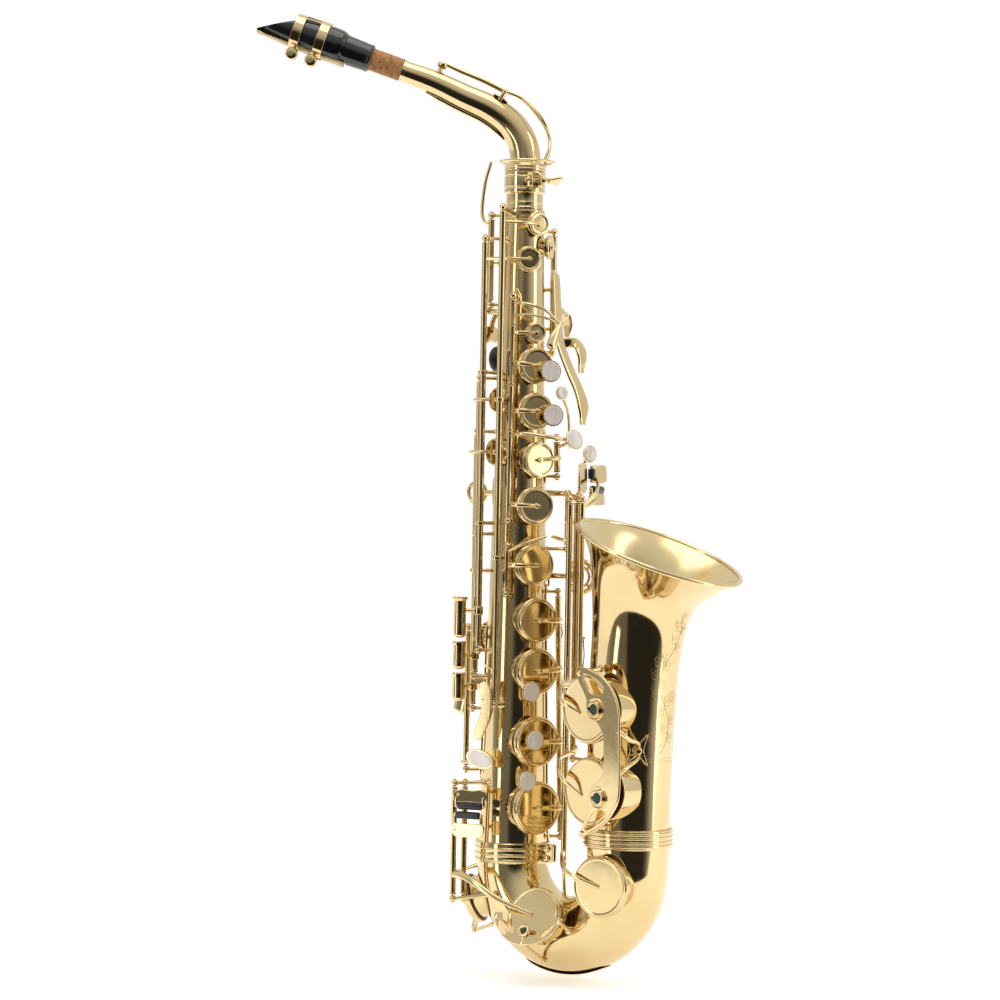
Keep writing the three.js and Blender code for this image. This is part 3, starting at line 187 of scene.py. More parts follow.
class Piece:
    """A mesh under construction, in the working frame."""

    def __init__(self):
        self.verts = []
        self.faces = []

    def rings(self, rings, closed=True, start=None, end=None, keep=None):
        base, n, last = len(self.verts), len(rings[0]), len(rings) - 1
        for ring in rings:
            self.verts.extend(ring)
        span = n if closed else n - 1
        for i in range(last):
            for j in range(span):
                a, b = base + i * n + j, base + i * n + (j + 1) % n
                if keep is None or keep((self.verts[a] + self.verts[b + n]) / 2):
                    self.faces.append((a, b, b + n, a + n))
        for pole, row in ((start, 0), (end, last)):
            if pole is None:
                continue
            c = len(self.verts)
            self.verts.append(pole)
            for j in range(span):
                a, b = base + row * n + j, base + row * n + (j + 1) % n
                self.faces.append((c, b, a) if row == 0 else (c, a, b))
        return self

    def lathe(self, profile, centre, normal=UP, n=36, r=0.3, loop=False):
        """Turned about normal; the profile holds (radius, height), with its corners rounded by r."""
        z = normal.normalized()
        x = z.orthogonal().normalized()
        y = z.cross(x)
        if loop:
            profile = rounded(list(profile) + [profile[0]], r) if r else list(profile) + [profile[0]]
        elif r:
            profile = rounded(profile, r)
        start = centre + z * profile[0][1] if profile[0][0] == 0 else None
        end = centre + z * profile[-1][1] if profile[-1][0] == 0 else None
        rows = [[centre + z * h + x * a + y * b for a, b in circle(n, rad)] for rad, h in profile if rad > 0]
        return self.rings(rows, start=start, end=end)

    def sweep(self, path, radius, n=12, flat=1.0, up=None, ends=True, closed=False):
        """A round or flattened bar along a dense path. radius is a number or a function of share."""
        size = radius if callable(radius) else (lambda t: radius)
        rows, side, last = [], None, len(path) - 1
        for i, p in enumerate(path):
            t = (path[min(i + 1, last)] - path[max(i - 1, 0)]).normalized()
            if closed and i in (0, last):
                t = (path[1] - path[last - 1]).normalized()
            if up is not None:
                side = t.cross(up).normalized()
            else:
                side = t.orthogonal().normalized() if side is None else (side - t * side.dot(t)).normalized()
            other = t.cross(side)
            rows.append((p, t, side, other, size(i / last)))
        def ring(p, side, other, r):
            return [p + side * a + other * b for a, b in circle(n, r, flat)]
        out = [ring(p, s, o, r) for p, t, s, o, r in rows]
        if closed:
            return self.rings(out)
        start = end = None
        if ends:
            p, t, s, o, r = rows[0]
            reach = r * min(flat, 1) * 0.9
            out = [ring(p - t * (reach * sind(a)), s, o, r * cosd(a)) for a in (75, 50, 25)] + out
            start = p - t * reach
            p, t, s, o, r = rows[-1]
            reach = r * min(flat, 1) * 0.9
            out += [ring(p + t * (reach * sind(a)), s, o, r * cosd(a)) for a in (25, 50, 75)]
            end = p + t * reach
        return self.rings(out, start=start, end=end)

    def bar(self, a, b, r, n=14, flat=1.0, up=None, r_end=None):
        path = [a.lerp(b, k / 4) for k in range(5)]
        return self.sweep(path, (lambda t: lerp(r, r_end, t)) if r_end else r, n, flat, up)

    def arm(self, points, r, flat=0.8, up=None, n=12, taper=0.8):
        path = spline(points, 8)
        return self.sweep(path, lambda t: r * lerp(1.08, taper, t), n, flat, up)

    def ball(self, centre, r, n=20):
        profile = [(0, -r)] + [(r * cosd(a), r * sind(a)) for a in range(-72, 73, 18)] + [(0, r)]
        return self.lathe(profile, centre, UP, n, r=0)

    def torus(self, centre, axis, r, thick, n=64, m=14, flat=1.0):
        loop = [(r + a, b) for a, b in circle(m, thick, flat)]
        return self.lathe(loop, centre, axis, n, r=0, loop=True)

    def slab(self, outline, thick, centre, right, up, bevel=0.4, holes=(), bend=None):
        """A flat plate with rounded edges and true holes; bend maps (x, y, z) before it is placed."""
        data = bpy.data.curves.new("slab", "CURVE")
        data.dimensions = "2D"
        data.fill_mode = "BOTH"
        data.extrude = max(thick / 2 - bevel, 0.01)
        data.bevel_depth = bevel
        data.bevel_resolution = 2
        data.offset = -bevel
        for loop in (outline, *holes):
            line = data.splines.new("POLY")
            line.points.add(len(loop) - 1)
            for point, (x, y) in zip(line.points, loop):
                point.co = (x, y, 0, 1)
            line.use_cyclic_u = True
        obj = placed("slab", data)
        mesh = applied(obj)
        right, up = right.normalized(), up.normalized()
        face = right.cross(up).normalized()
        base = len(self.verts)
        for v in mesh.vertices:
            c = bend(v.co.x, v.co.y, v.co.z) if bend else v.co
            self.verts.append(centre + right * c[0] + up * c[1] + face * c[2])
        self.faces.extend(tuple(base + i for i in p.vertices) for p in mesh.polygons)
        bpy.data.objects.remove(obj)
        bpy.data.curves.remove(data)
        bpy.data.meshes.remove(mesh)
        return self

    def build(self, name, mat, body, turn=None, replaces=(), slot=None, solid=0.0, smooth=38, inner=None):
        """Makes the object in the row's frame; solid gives a sheet its wall, inner the wall's inside look."""
        mesh = bpy.data.meshes.new(name)
        mesh.from_pydata([tuple(v) for v in self.verts], [], self.faces)
        mesh.validate()
        if turn is not None:
            mesh.transform(turn)
        mesh.transform(TO_ROW)
        obj = placed(name, mesh)
        if solid:
            wall = obj.modifiers.new("wall", "SOLIDIFY")
            wall.thickness = solid * MM
            wall.offset = -1
            mesh = applied(obj)
            obj.modifiers.clear()
            obj.data = mesh
        mesh.shade_smooth()
        mesh.set_sharp_from_angle(angle=math.radians(smooth))
        mesh.materials.clear()
        mesh.materials.append(mat)
        if inner:
            mesh.materials.append(inner)
            for face in list(mesh.polygons)[len(self.faces):2 * len(self.faces)]:
                face.material_index = 1
        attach(obj, body)
        if replaces:
            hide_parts(*replaces)
        return obj

    def brass(self, name, node=None, **options):
        """Fixed brasswork of the body, in place of a CAD node where one is named."""
        return self.build(name, BRASS, "body", replaces=(node,) if node else (), slot=SLOT, **options)


# ------------------------------------------------------------------ materials
def shader_node(tree, kind, **inputs):
    """A new node with its sockets set by name, an underscore standing for a space."""
    node = tree.nodes.new("ShaderNode" + kind)
    for socket, value in inputs.items():
        node.inputs[socket.replace("_", " ")].default_value = value
    return node


def color_ramp(tree, fac, stops):
    node = shader_node(tree, "ValToRGB")
    elements = node.color_ramp.elements
    while len(elements) < len(stops):
        elements.new(0.5)
    for element, (at, color) in zip(elements, stops):
        element.position = at
        element.color = (*color, 1)
    tree.links.new(fac, node.inputs["Fac"])
    return node.outputs["Color"]


def graph(name):
    """A new material with its shader and the functions that feed noise into the shader's sockets."""
    mat = bpy.data.materials.new(name)
    mat.use_nodes = True
    tree = mat.node_tree
    shader = tree.nodes["Principled BSDF"]
    coord = shader_node(tree, "TexCoord")

    def noise(scale, detail=3.0, stretch=None, distortion=0.0):
        node = shader_node(tree, "TexNoise", Scale=scale, Detail=detail, Distortion=distortion)
        place = coord.outputs["Object"]
        if stretch:
            way = shader_node(tree, "Mapping", Scale=stretch)
            tree.links.new(place, way.inputs["Vector"])
            place = way.outputs["Vector"]
        tree.links.new(place, node.inputs["Vector"])
        return node.outputs["Fac"]

    def ramp(fac, stops, target):
        tree.links.new(color_ramp(tree, fac, stops), target)

    def spread(fac, low, high, target):
        node = shader_node(tree, "MapRange", From_Min=0.3, From_Max=0.7, To_Min=low, To_Max=high)
        tree.links.new(fac, node.inputs["Value"])
        tree.links.new(node.outputs["Result"], target)

    def bump(fac, strength, distance):
        node = shader_node(tree, "Bump", Strength=strength, Distance=distance)
        tree.links.new(fac, node.inputs["Height"])
        tree.links.new(node.outputs["Normal"], shader.inputs["Normal"])

    return mat, shader, noise, ramp, spread, bump


def metal(name, dark, light, rough, bump_strength=0.02, coat=0.25):
    mat, s, noise, ramp, spread, bump = graph(name)
    s.inputs["Metallic"].default_value = 1
    s.inputs["Coat Weight"].default_value = coat
    s.inputs["Coat Roughness"].default_value = 0.04
    ramp(noise(24, 4), [(0.3, dark), (0.7, light)], s.inputs["Base Color"])
    spread(noise(160, 5), *rough, s.inputs["Roughness"])
    bump(noise(700, 3), bump_strength, 0.0002)
    return mat


def solid_look(name, dark, light, rough, scale, bump_strength, bump_distance, stretch=None,
               coat=0.0, sheen=0.0, bump_scale=None):
    mat, s, noise, ramp, spread, bump = graph(name)
    s.inputs["Coat Weight"].default_value = coat
    s.inputs["Coat Roughness"].default_value = 0.06
    s.inputs["Sheen Weight"].default_value = sheen
    ramp(noise(scale, 4, stretch), [(0.32, dark), (0.68, light)], s.inputs["Base Color"])
    spread(noise(scale * 2, 3, stretch), *rough, s.inputs["Roughness"])
    bump(noise(bump_scale or scale * 3, 5, stretch), bump_strength, bump_distance)
    return mat


BRASS = metal("lacquered_brass", (0.74, 0.56, 0.27), (0.81, 0.64, 0.35), (0.06, 0.10))
INNER = metal("bell_inside_brass", (0.76, 0.60, 0.31), (0.82, 0.66, 0.36), (0.2, 0.28), 0.04)
# Darker matte brass for the engraved lines; on the clamp screws the same material is painted shade standing
# in for their slots.
DARKLINE = metal("engraving_and_painted_slot_shade", (0.40, 0.27, 0.10), (0.55, 0.39, 0.17), (0.3, 0.45), 0.1, coat=0)
STEEL = metal("drawn_steel", (0.42, 0.42, 0.43), (0.58, 0.58, 0.58), (0.2, 0.32), 0.05)
BLUED = metal("blued_steel", (0.02, 0.035, 0.09), (0.05, 0.07, 0.16), (0.2, 0.3), 0.02)
EBONITE = solid_look("ebonite", (0.006, 0.006, 0.007), (0.014, 0.014, 0.016), (0.12, 0.2), 40, 0.02, 0.0001,
                     coat=0.6)
BLACK = solid_look("black_resin", (0.008, 0.008, 0.01), (0.02, 0.02, 0.024), (0.28, 0.42), 80, 0.05, 0.0001,
                   coat=0.2)
PEARL = solid_look("mother_of_pearl", (0.82, 0.72, 0.62), (0.95, 0.89, 0.83), (0.12, 0.22), 150, 0.05, 0.0002,
                   stretch=(1, 3, 0.6), coat=0.8)
LEATHER = solid_look("pad_leather", (0.10, 0.045, 0.022), (0.20, 0.10, 0.05), (0.45, 0.62), 120, 0.35, 0.0003,
                     bump_scale=900)
RED_FELT = solid_look("red_felt", (0.30, 0.012, 0.01), (0.48, 0.03, 0.02), (0.85, 0.98), 300, 0.7, 0.0004,
                      sheen=0.6, bump_scale=1500)
GREEN_FELT = solid_look("green_felt", (0.006, 0.04, 0.02), (0.015, 0.08, 0.04), (0.85, 0.98), 300, 0.7,
                        0.0004,
                        sheen=0.5, bump_scale=1500)
CANE = solid_look("cane", (0.55, 0.38, 0.15), (0.80, 0.64, 0.34), (0.5, 0.65), 90, 0.3, 0.0002,
                  stretch=(1, 1, 7))


def cork_look():
    mat, s, noise, ramp, spread, bump = graph("cork")
    ramp(noise(420, 6, distortion=0.8), [(0.30, (0.16, 0.055, 0.015)), (0.44, (0.48, 0.22, 0.075)),
                                         (0.75, (0.66, 0.35, 0.14))], s.inputs["Base Color"])
    spread(noise(300), 0.75, 0.95, s.inputs["Roughness"])
    bump(noise(520, 6), 0.6, 0.0006)
    return mat


CORK = cork_look()
SLOT = "lacquered_brass"

# ------------------------------------------------------------------ tone holes and cups
# Holes in line on the body tube, and elsewhere on it: height, direction, hole radius, cup radius.
STACK_PHI = -30
HOLES = {name: (z, STACK_PHI, hole, cup) for name, z, hole, cup in (
    ("c", 379, 5, 8), ("b", 355, 9.5, 13.5), ("a", 322, 9.5, 13.5), ("bis", 286.5, 9.5, 13.5),
    ("g", 253, 10, 14), ("gsharp", 210, 11.5, 15.5), ("fsharp", 170, 12.5, 16.5),
    ("f", 133, 13, 17), ("e", 82, 14.5, 18.5), ("d", 34, 15.5, 19.5))}
HOLES.update(high_fsharp=(459, -24, 5.5, 9), palm_f=(443, 22, 5.5, 9), high_e=(433, -45, 6, 9.5),
             palm_eb=(413, 103, 6, 9.5), palm_d=(384, 103, 6.5, 10), side_c=(330, -103, 7, 9.6),
             side_bb=(292, -106, 7.5, 10.2), trill_fsharp=(156, 178, 8, 11))
RISE = 3


class Seat:
    def __init__(self, centre, normal, hole, cup):
        self.centre, self.normal, self.hole, self.cup = centre, normal.normalized(), hole, cup
        self.height = 4.6 if cup < 11.5 else 6.4

    def over(self, rise, across=0, up=0):
        side = -(UP.cross(self.normal))
        return self.centre + self.normal * rise + side * across + UP * up


SEATS = {name: Seat(polar(tube_r(z) + RISE, phi, z), polar(1, phi), hole, cup)
         for name, (z, phi, hole, cup) in HOLES.items()}


LEG_SPACING = 99
BOW_R = LEG_SPACING / 2
BOW_DROP = 7.5
BOW_RADII = (25.8, 30)
BELL_JOINT_Z = 17.5


def on_bow(angle):
    point = V(BOW_R - BOW_R * cosd(angle), 0, -BOW_DROP - BOW_R * sind(angle))
    return point, V(-cosd(angle), 0, -sind(angle))


def seat_on_bow(angle, lean, r, hole, cup):
    point, outward = on_bow(angle)
    normal = V(0, -cosd(lean), 0) + outward * sind(lean)
    return Seat(point + normal * (r + RISE + 1), normal, hole, cup)


SEATS["low_eb"] = seat_on_bow(21, 75, 26.5, 14.5, 18.5)
SEATS["low_c"] = seat_on_bow(80, -27, 28, 17, 21.5)
SEATS["low_csharp"] = Seat(V(99.5, -34, -15), V(0, -1, 0), 17.5, 22)
SEATS["low_b"] = Seat(V(96, -38.5, 110.5), polar(1, -98), 20, 24.5)
SEATS["low_bb"] = Seat(V(99, -37.5, 52.5), polar(1, -98), 20, 24.5)
PIP = Seat(polar(tube_r(432) + 4, 172, 432), polar(1, 172), 0.9, 4.2)
ON_TUBE = [SEATS[n] for n in HOLES]
ON_BOW = [SEATS[n] for n in ("low_eb", "low_c", "low_csharp")]
ON_BELL = [SEATS[n] for n in ("low_b", "low_bb")]


def clear_of(seats, margin=0.6):
    """Whether a point of a wall is outside every tone hole."""
    def keep(p):
        for s in seats:
            d = p - s.centre
            out = d.dot(s.normal)
            if -14 < out < 3 and (d - s.normal * out).length < s.hole + margin:
                return False
        return True
    return keep


def chimneys(piece, seats, depth):
    """The rolled rims of tone holes, open down into the wall."""
    for s in seats:
        h = s.hole
        wall = [(h, -depth), (h + 1.2, -depth), (h + 1.2, -0.9), (h + 1.45, -0.5), (h + 1.3, 0),
                (h + 0.6, 0.12), (h, -0.2)]
        piece.lathe(wall, s.centre, s.normal, 56, r=0.15, loop=True)


# ------------------------------------------------------------------ body tube, bow and bell
def body_tube():
    tube = Piece()
    zs = [3 + 467 * i / 330 for i in range(331)]
    rows = [[polar(tube_r(z), 360 * k / 180, z) for k in range(180)] for z in zs]
    tube.rings(rows, keep=clear_of(ON_TUBE))
    tube.brass("body_tube_wall", "body_tube", solid=1.2, smooth=50)
    rims = Piece()
    chimneys(rims, ON_TUBE, 6)
    rims.lathe([(0.9, -6), (1.9, -6), (1.9, 0), (0.9, 0)], PIP.centre, PIP.normal, 20, r=0.1, loop=True)
    for z, r, h in ((468.2, 1.6, 3.2), (464.5, 0.5, 1.2), (462.6, 0.5, 0.8)):
        base = tube_r(z)
        rims.lathe([(base - 0.4, -h / 2), (base + r, -h / 2), (base + r, h / 2), (base - 0.4, h / 2)],
                   V(0, 0, z), UP, 96, r=0.35, loop=True)
    rims.brass("body_tube_rims")


BOW_LINE = Path([V(0, 0, 2.7), V(0, 0, -3)] + [on_bow(3 * k)[0] for k in range(61)]
                + [V(LEG_SPACING, 0, z) for z in (-4, 3, 10, BELL_JOINT_Z - 1)])
SIDEWAYS = V(0, 1, 0)


def bent_rows(path, radius_at, stations, n, shares=None):
    """Round sections across a centre line in the plane y = 0, wound so that faces look outwards."""
    rows = []
    for i in range(stations + 1):
        share = shares(i / stations) if shares else i / stations
        p, t = path.at(share), path.tangent(share)
        across = t.cross(SIDEWAYS)
        r = radius_at(share)
        rows.append([p + SIDEWAYS * a + across * b for a, b in circle(n, r)])
    return rows


def bow():
    wall = Piece()
    wall.rings(bent_rows(BOW_LINE, lambda share: lerp(*BOW_RADII, share), 170, 150), keep=clear_of(ON_BOW))
    wall.brass("bow_wall", "bow", solid=1.2, smooth=50)
    rims = Piece()
    chimneys(rims, ON_BOW, 12)
    # Wear plate along the bottom of the bend.
    path = [on_bow(a)[0] + on_bow(a)[1] * (28.0 + (a - 90) / 45) for a in range(62, 119, 2)]
    rims.sweep(path, lambda t: 9 * math.sqrt(max(0.02, 1 - (2 * t - 1) ** 6)), 24, flat=0.09, up=UP)
    rims.brass("bow_rims")


BELL_LINE = Path(spline([V(LEG_SPACING + x, 0, z) for x, z in (
    (0, BELL_JOINT_Z), (0.2, 62), (1.4, 112), (4.6, 156), (10.5, 192), (22, 222))], 40))
BELL_RADII = (29.8, 33.5)
FLARE_START = 0.42
FLARE_POWER = 4.7
RIM_R = 62


def bell_r(share):
    flare = (max(0, share - FLARE_START) / (1 - FLARE_START)) ** FLARE_POWER
    return lerp(*BELL_RADII, share) + (RIM_R - BELL_RADII[1]) * flare


def bell_point(share, phi, lift=0.0):
    """A point on the bell; phi 0 faces forward (+X), -90 the player's right."""
    p, t = BELL_LINE.at(share), BELL_LINE.tangent(share)
    forward = SIDEWAYS.cross(t)
    r = bell_r(share) + lift
    return p + forward * (r * cosd(phi)) + SIDEWAYS * (r * sind(phi))


def bell():
    wall = Piece()
    wall.rings(bent_rows(BELL_LINE, bell_r, 190, 190, shares=lambda t: t ** 0.85), keep=clear_of(ON_BELL))
    wall.brass("bell_wall", "bell", solid=1.1, smooth=60, inner=INNER)
    trim = Piece()
    chimneys(trim, ON_BELL, 19)
    centre, normal = BELL_LINE.at(1), BELL_LINE.tangent(1)
    trim.torus(centre - normal * 0.6, normal, RIM_R - 0.9, 1.75, 220, 18)
    trim.brass("bell_rim_bead")


BELL_RISE = 215
LINE_LIFT = 0.02


def on_bell(share, phi, across=0.0, along=0.0):
    """A point just off the bell's wall, moved by millimetres round and along the bell."""
    return bell_point(share + along / BELL_RISE, phi + math.degrees(across / bell_r(share)), LINE_LIFT)


def flower(piece, share, phi, size, turn=20, petals=5):
    """A small engraved rosette on the bell."""
    def at(u, v):
        return on_bell(share, phi, u * size, v * size)
    loop = []
    for k in range(petals * 12 + 1):
        a = 360 * k / (petals * 12)
        r = 0.55 + 0.45 * abs(cosd(a * petals / 2 + turn))
        loop.append(at(r * cosd(a + turn), r * sind(a + turn)))
    piece.sweep(loop, 0.13, 6, closed=True)
    piece.sweep([at(0.22 * cosd(20 * k), 0.22 * sind(20 * k)) for k in range(19)], 0.11, 6, closed=True)


def engraving():
    """A generic trailing vine with curls and rosettes on the bell's forward side, and two lines under it."""
    lines = Piece()
    def stem(t):
        return 0.30 + 0.52 * t, -14 + 12 * math.sin(t * 9.5) + 4 * t
    lines.sweep([on_bell(*stem(k / 120)) for k in range(121)], 0.15, 6)
    curls = 16
    for k in range(curls):
        way = 1 if k % 2 else -1
        for curl in (0, 1):
            points = []
            for j in range(22):
                a = j / 21
                r = 5.4 * (1 - 0.75 * a)
                angle = 250 * a * way + (90 + 60 * curl * way)
                across = way * 4.2 + r * cosd(angle) * 0.75 * way
                along = r * sind(angle) * 0.8 + (3.2 if curl else -1)
                points.append(on_bell(*stem((k + 0.5) / curls), across, along))
            lines.sweep(points, 0.12, 6)
    for share, phi, size in ((0.36, -28, 4.2), (0.5, 2, 4.6), (0.63, -26, 5), (0.76, -2, 5.4)):
        flower(lines, share, phi, size)
    for share in (0.272, 0.283):
        lines.sweep([on_bell(share, -45 + 2.5 * k) for k in range(25)], 0.12, 6)
    lines.build("bell_engraving", DARKLINE, "body", slot=SLOT)


def lined_ring(centre, r_in, r_out, height, grooves):
    """A joint ring with raised lines round it."""
    ring = Piece()
    half = height / 2
    outer = [(r_in, -half), (r_out - 0.8, -half), (r_out - 0.1, -half + 0.7)]
    for z in grooves:
        outer += [(r_out - 0.1, z - 0.9), (r_out + 0.45, z - 0.45), (r_out + 0.45, z + 0.45),
                  (r_out - 0.1, z + 0.9)]
    outer += [(r_out - 0.1, half - 0.7), (r_out - 0.8, half), (r_in, half)]
    ring.lathe(outer, centre, UP, 128, r=0.22, loop=True)
    return ring


def joint_rings():
    ring = lined_ring(V(0, 0, 0), 25.9, 28.2, 15, (-5.2, -1.2, 3.2))
    for side in (-1, 1):
        ring.slab(rounded_rect(9.4, 13, 1.6), 2.2, V(32, side * 2.2, 0), V(1, 0, 0), UP, 0.4)
    for z in (-3.5, 3.5):
        ring.bar(V(32, -4.2, z), V(32, 5.5, z), 1.35)
        ring.lathe([(0, 0), (2.5, 0), (2.5, 1.2), (1.9, 2), (0, 2.1)], V(32, -3.6, z), V(0, -1, 0), 24)
    ring.brass("body_bow_clamp", "body_bow_ring")
    # Thin dark plates on the clamp screws' flat heads: painted shade in place of cut slots.
    slot_shades = Piece()
    for z in (-3.5, 3.5):
        slot_shades.slab(rounded_rect(4.0, 0.6, 0.1), 0.3, V(32, -5.65, z), V(1, 0, 0.3), V(-0.3, 0, 1), 0.05)
    slot_shades.build("clamp_screw_painted_slot_shade", DARKLINE, "body", slot=SLOT)
    ring = lined_ring(V(LEG_SPACING, 0, BELL_JOINT_Z), 30.2, 32.1, 14, (-4.4, -1.6, 1.6, 4.4))
    ring.brass("bell_bow_joint_ring", "bell_bow_ring")


def bell_brace():
    brace = Piece()
    z = 202
    centre = V(46, 14, z)
    brace.torus(centre, SIDEWAYS, 11.5, 1.9, 64, 14)
    brace.torus(centre, SIDEWAYS, 7.2, 1.1, 48, 12)
    for angle in (45, 135, 225, 315):
        way = V(cosd(angle), 0, sind(angle))
        brace.bar(centre + way * 7, centre + way * 11, 1.1)
    brace.bar(V(19.3, 13, z), V(35.5, 14, z), 2.6, r_end=1.7)
    brace.bar(V(68.6, 14.4, z), V(56.5, 14, z), 2.6, r_end=1.7)
    brace.slab(rounded_rect(9, 17, 3.8), 1.5, V(18.6, 13, z), V(-0.57, 0.82, 0), UP, 0.4)
    brace.slab(rounded_rect(8, 14, 3.6), 1.5, V(69, 14.6, z), V(0.35, 0.94, 0), V(-0.1, 0, 1), 0.4)
    brace.brass("bell_body_brace", "bell_brace")


# ------------------------------------------------------------------ neck receiver and its screw
EAR_PHI = -35
EAR_Z = 491
ACROSS_EARS = polar(1, EAR_PHI + 90)


def ear(rho, tangential, z=EAR_Z):
    return polar(rho, EAR_PHI, z) + ACROSS_EARS * tangential


def receiver():
    socket = Piece()
    low, high = 470.3, 498
    wall = [(12.3, low), (13.9, low), (13.9, low + 1.4), (13.5, low + 2), (13.5, low + 4), (13.8, low + 4.4),
            (13.8, low + 5.2), (13.5, low + 5.6), (13.5, low + 11.4), (15.1, low + 12.6), (15.1, low + 15),
            (14.7, low + 15.5), (14.7, low + 16.2), (15.1, low + 16.7), (15.1, high - 4), (14.7, high - 3.5),
            (14.7, high - 3), (15.1, high - 2.5), (15.1, high - 0.3), (14.6, high), (12.3, high)]
    socket.lathe(wall, V(0, 0, 0), UP, 96, r=0.18, loop=True)
    for t in (-3.4, 3.4):
        socket.slab(rounded_rect(9, 11, 2.6), 2.4, ear(17.5, t), polar(1, EAR_PHI), UP, 0.5)
    lyre_out, lyre_across = polar(1, 100), polar(1, 190)
    hole = [(1.0 + 2.4 * cosd(a), 2.4 * sind(a)) for a in range(0, 360, 15)]
    socket.slab(rounded_rect(11, 8, 2), 9, polar(19.4, 100, 490), lyre_out, lyre_across, 0.6, holes=(hole,))
    socket.lathe([(0, 0), (1.5, 0), (1.5, 3), (0, 3)], polar(24.5, 100, 490), lyre_out, 20)
    socket.slab(rounded_rect(6, 9, 2.8), 1.4, polar(29, 100, 490), lyre_out, UP, 0.4)
    socket.brass("receiver_socket", "neck_receiver")
    screw = Piece()
    screw.bar(ear(18.5, -6.4), ear(18.5, 8), 1.3)
    screw.lathe([(0, 0), (3.0, 0), (3.4, 1), (3.4, 2.4), (2.4, 3.4), (1.7, 4.2), (1.7, 5.6), (2.3, 6.2),
                 (0, 6.4)],
                ear(18.5, 5.4), ACROSS_EARS, 28)
    wing_up = polar(0.9, EAR_PHI) + UP * 0.4
    screw.slab(smooth_loop([(0, -2.2), (3, -3.4), (8, -5.8), (10.6, -4.4), (9.6, 0), (10.6, 4.4), (8, 5.8),
                            (3, 3.4),
                            (0, 2.2)]), 1.9, ear(18.5, 10.6), ACROSS_EARS, wing_up, 0.7)
    screw.build("neck_clamp_screw", BRASS, "neck_screw", replaces=("neck_screw",), slot=SLOT)


# ------------------------------------------------------------------ neck, cork, octave key
NECK_PHI = -146.5
NECK_DIR = polar(1, NECK_PHI)
NECK_SIDE = -(NECK_DIR.cross(UP))
NECK = Path(spline([NECK_DIR * reach + UP * z for reach, z in (
    (0, 500), (0.3, 511), (3.4, 522.5), (11, 533.5), (25, 544), (46, 553.4), (68, 563.4), (91, 571.4))], 24))
END_DIR = NECK.tangent(1)
MOUTH_UP = NECK_SIDE.cross(END_DIR)
MOUTH_UP = MOUTH_UP if MOUTH_UP.z > 0 else -MOUTH_UP


def neck_r(share):
    return lerp(11.4, 7.6, share ** 1.15)


def above(share, lift, side=0.0):
    out = NECK_SIDE.cross(NECK.tangent(share))
    out = out if out.z > 0 else -out
    return NECK.at(share) + out * lift + NECK_SIDE * side


def out_at(share):
    return (above(share, 1) - NECK.at(share)).normalized()


def along_neck(distance, height=0.0, side=0.0):
    return NECK.at(1) + END_DIR * distance + MOUTH_UP * height + NECK_SIDE * side


PIP_UP = out_at(0.8)
PIP_TOP = above(0.8, neck_r(0.8) + 3.0)
SADDLE = above(0.42, neck_r(0.42) + 5.5)


def neck():
    tube = Piece()
    tube.sweep([NECK.at(i / 110) for i in range(111)], neck_r, 72, ends=False)
    tube.build("neck_tube", BRASS, "neck", replaces=("neck",), slot=SLOT, solid=1.0, smooth=60)
    trim = Piece()
    collar = [(11.2, 0), (15.2, 0), (15.4, 0.6), (15.4, 1.6), (14.9, 2.1), (14.9, 2.6), (15.3, 3),
              (15.3, 3.9),
              (14, 4.8), (12.6, 5.4), (12.3, 7), (11.2, 7.2)]
    trim.lathe(collar, V(0, 0, 498.4), UP, 80, r=0.2, loop=True)
    trim.lathe([(10.4, 476), (11.6, 476), (11.6, 499), (10.4, 499)], V(0, 0, 0), UP, 64, r=0.3, loop=True)
    trim.lathe([(5.6, -1), (7.9, -1), (7.9, 1.2), (7.3, 1.6), (5.6, 1.6)], NECK.at(1) - END_DIR * 0.6,
               END_DIR, 64,
               r=0.2, loop=True)
    trim.lathe([(5.6, 0), (6.6, 0), (6.6, 46), (5.6, 46)], NECK.at(1), END_DIR, 48, r=0.2, loop=True)
    # Brace rib under the bend, the octave pip and the saddle's posts.
    rib = [above(s / 100, -neck_r(s / 100) - 0.7) for s in range(24, 84)]
    trim.sweep(rib, lambda t: 0.6 + 1.5 * min(1, 7 * t, 7 * (1 - t)), 12, flat=0.75, up=NECK_SIDE)
    trim.lathe([(0, 0), (3.4, 0), (3.2, 1.2), (2.0, 1.8), (1.8, 4.5), (0.8, 4.5), (0.8, 1), (0, 1)],
               above(0.8, neck_r(0.8) - 1.5), PIP_UP, 28, r=0.15)
    for side in (-1, 1):
        foot = SADDLE + NECK_SIDE * side * 4.4 - out_at(0.42) * 6.2
        head = SADDLE + NECK_SIDE * side * 5.4
        trim.bar(foot, head, 1.9, r_end=1.2)
        trim.ball(head, 2.1)
    trim.slab(rounded_rect(15, 12, 4), 0.9, SADDLE - out_at(0.42) * 5.4, NECK_SIDE, NECK.tangent(0.42), 0.3)
    trim.build("neck_fittings", BRASS, "neck", slot=SLOT)
    cork = Piece()
    cork.lathe([(6.7, 0), (7.7, 0), (8.25, 1), (8.2, 20), (8.0, 43), (7.6, 44), (6.7, 44)], along_neck(0.9),
               END_DIR, 64,
               r=0.3, loop=True)
    cork.build("neck_cork_sleeve", CORK, "neck", replaces=("neck_cork",), slot="cork")


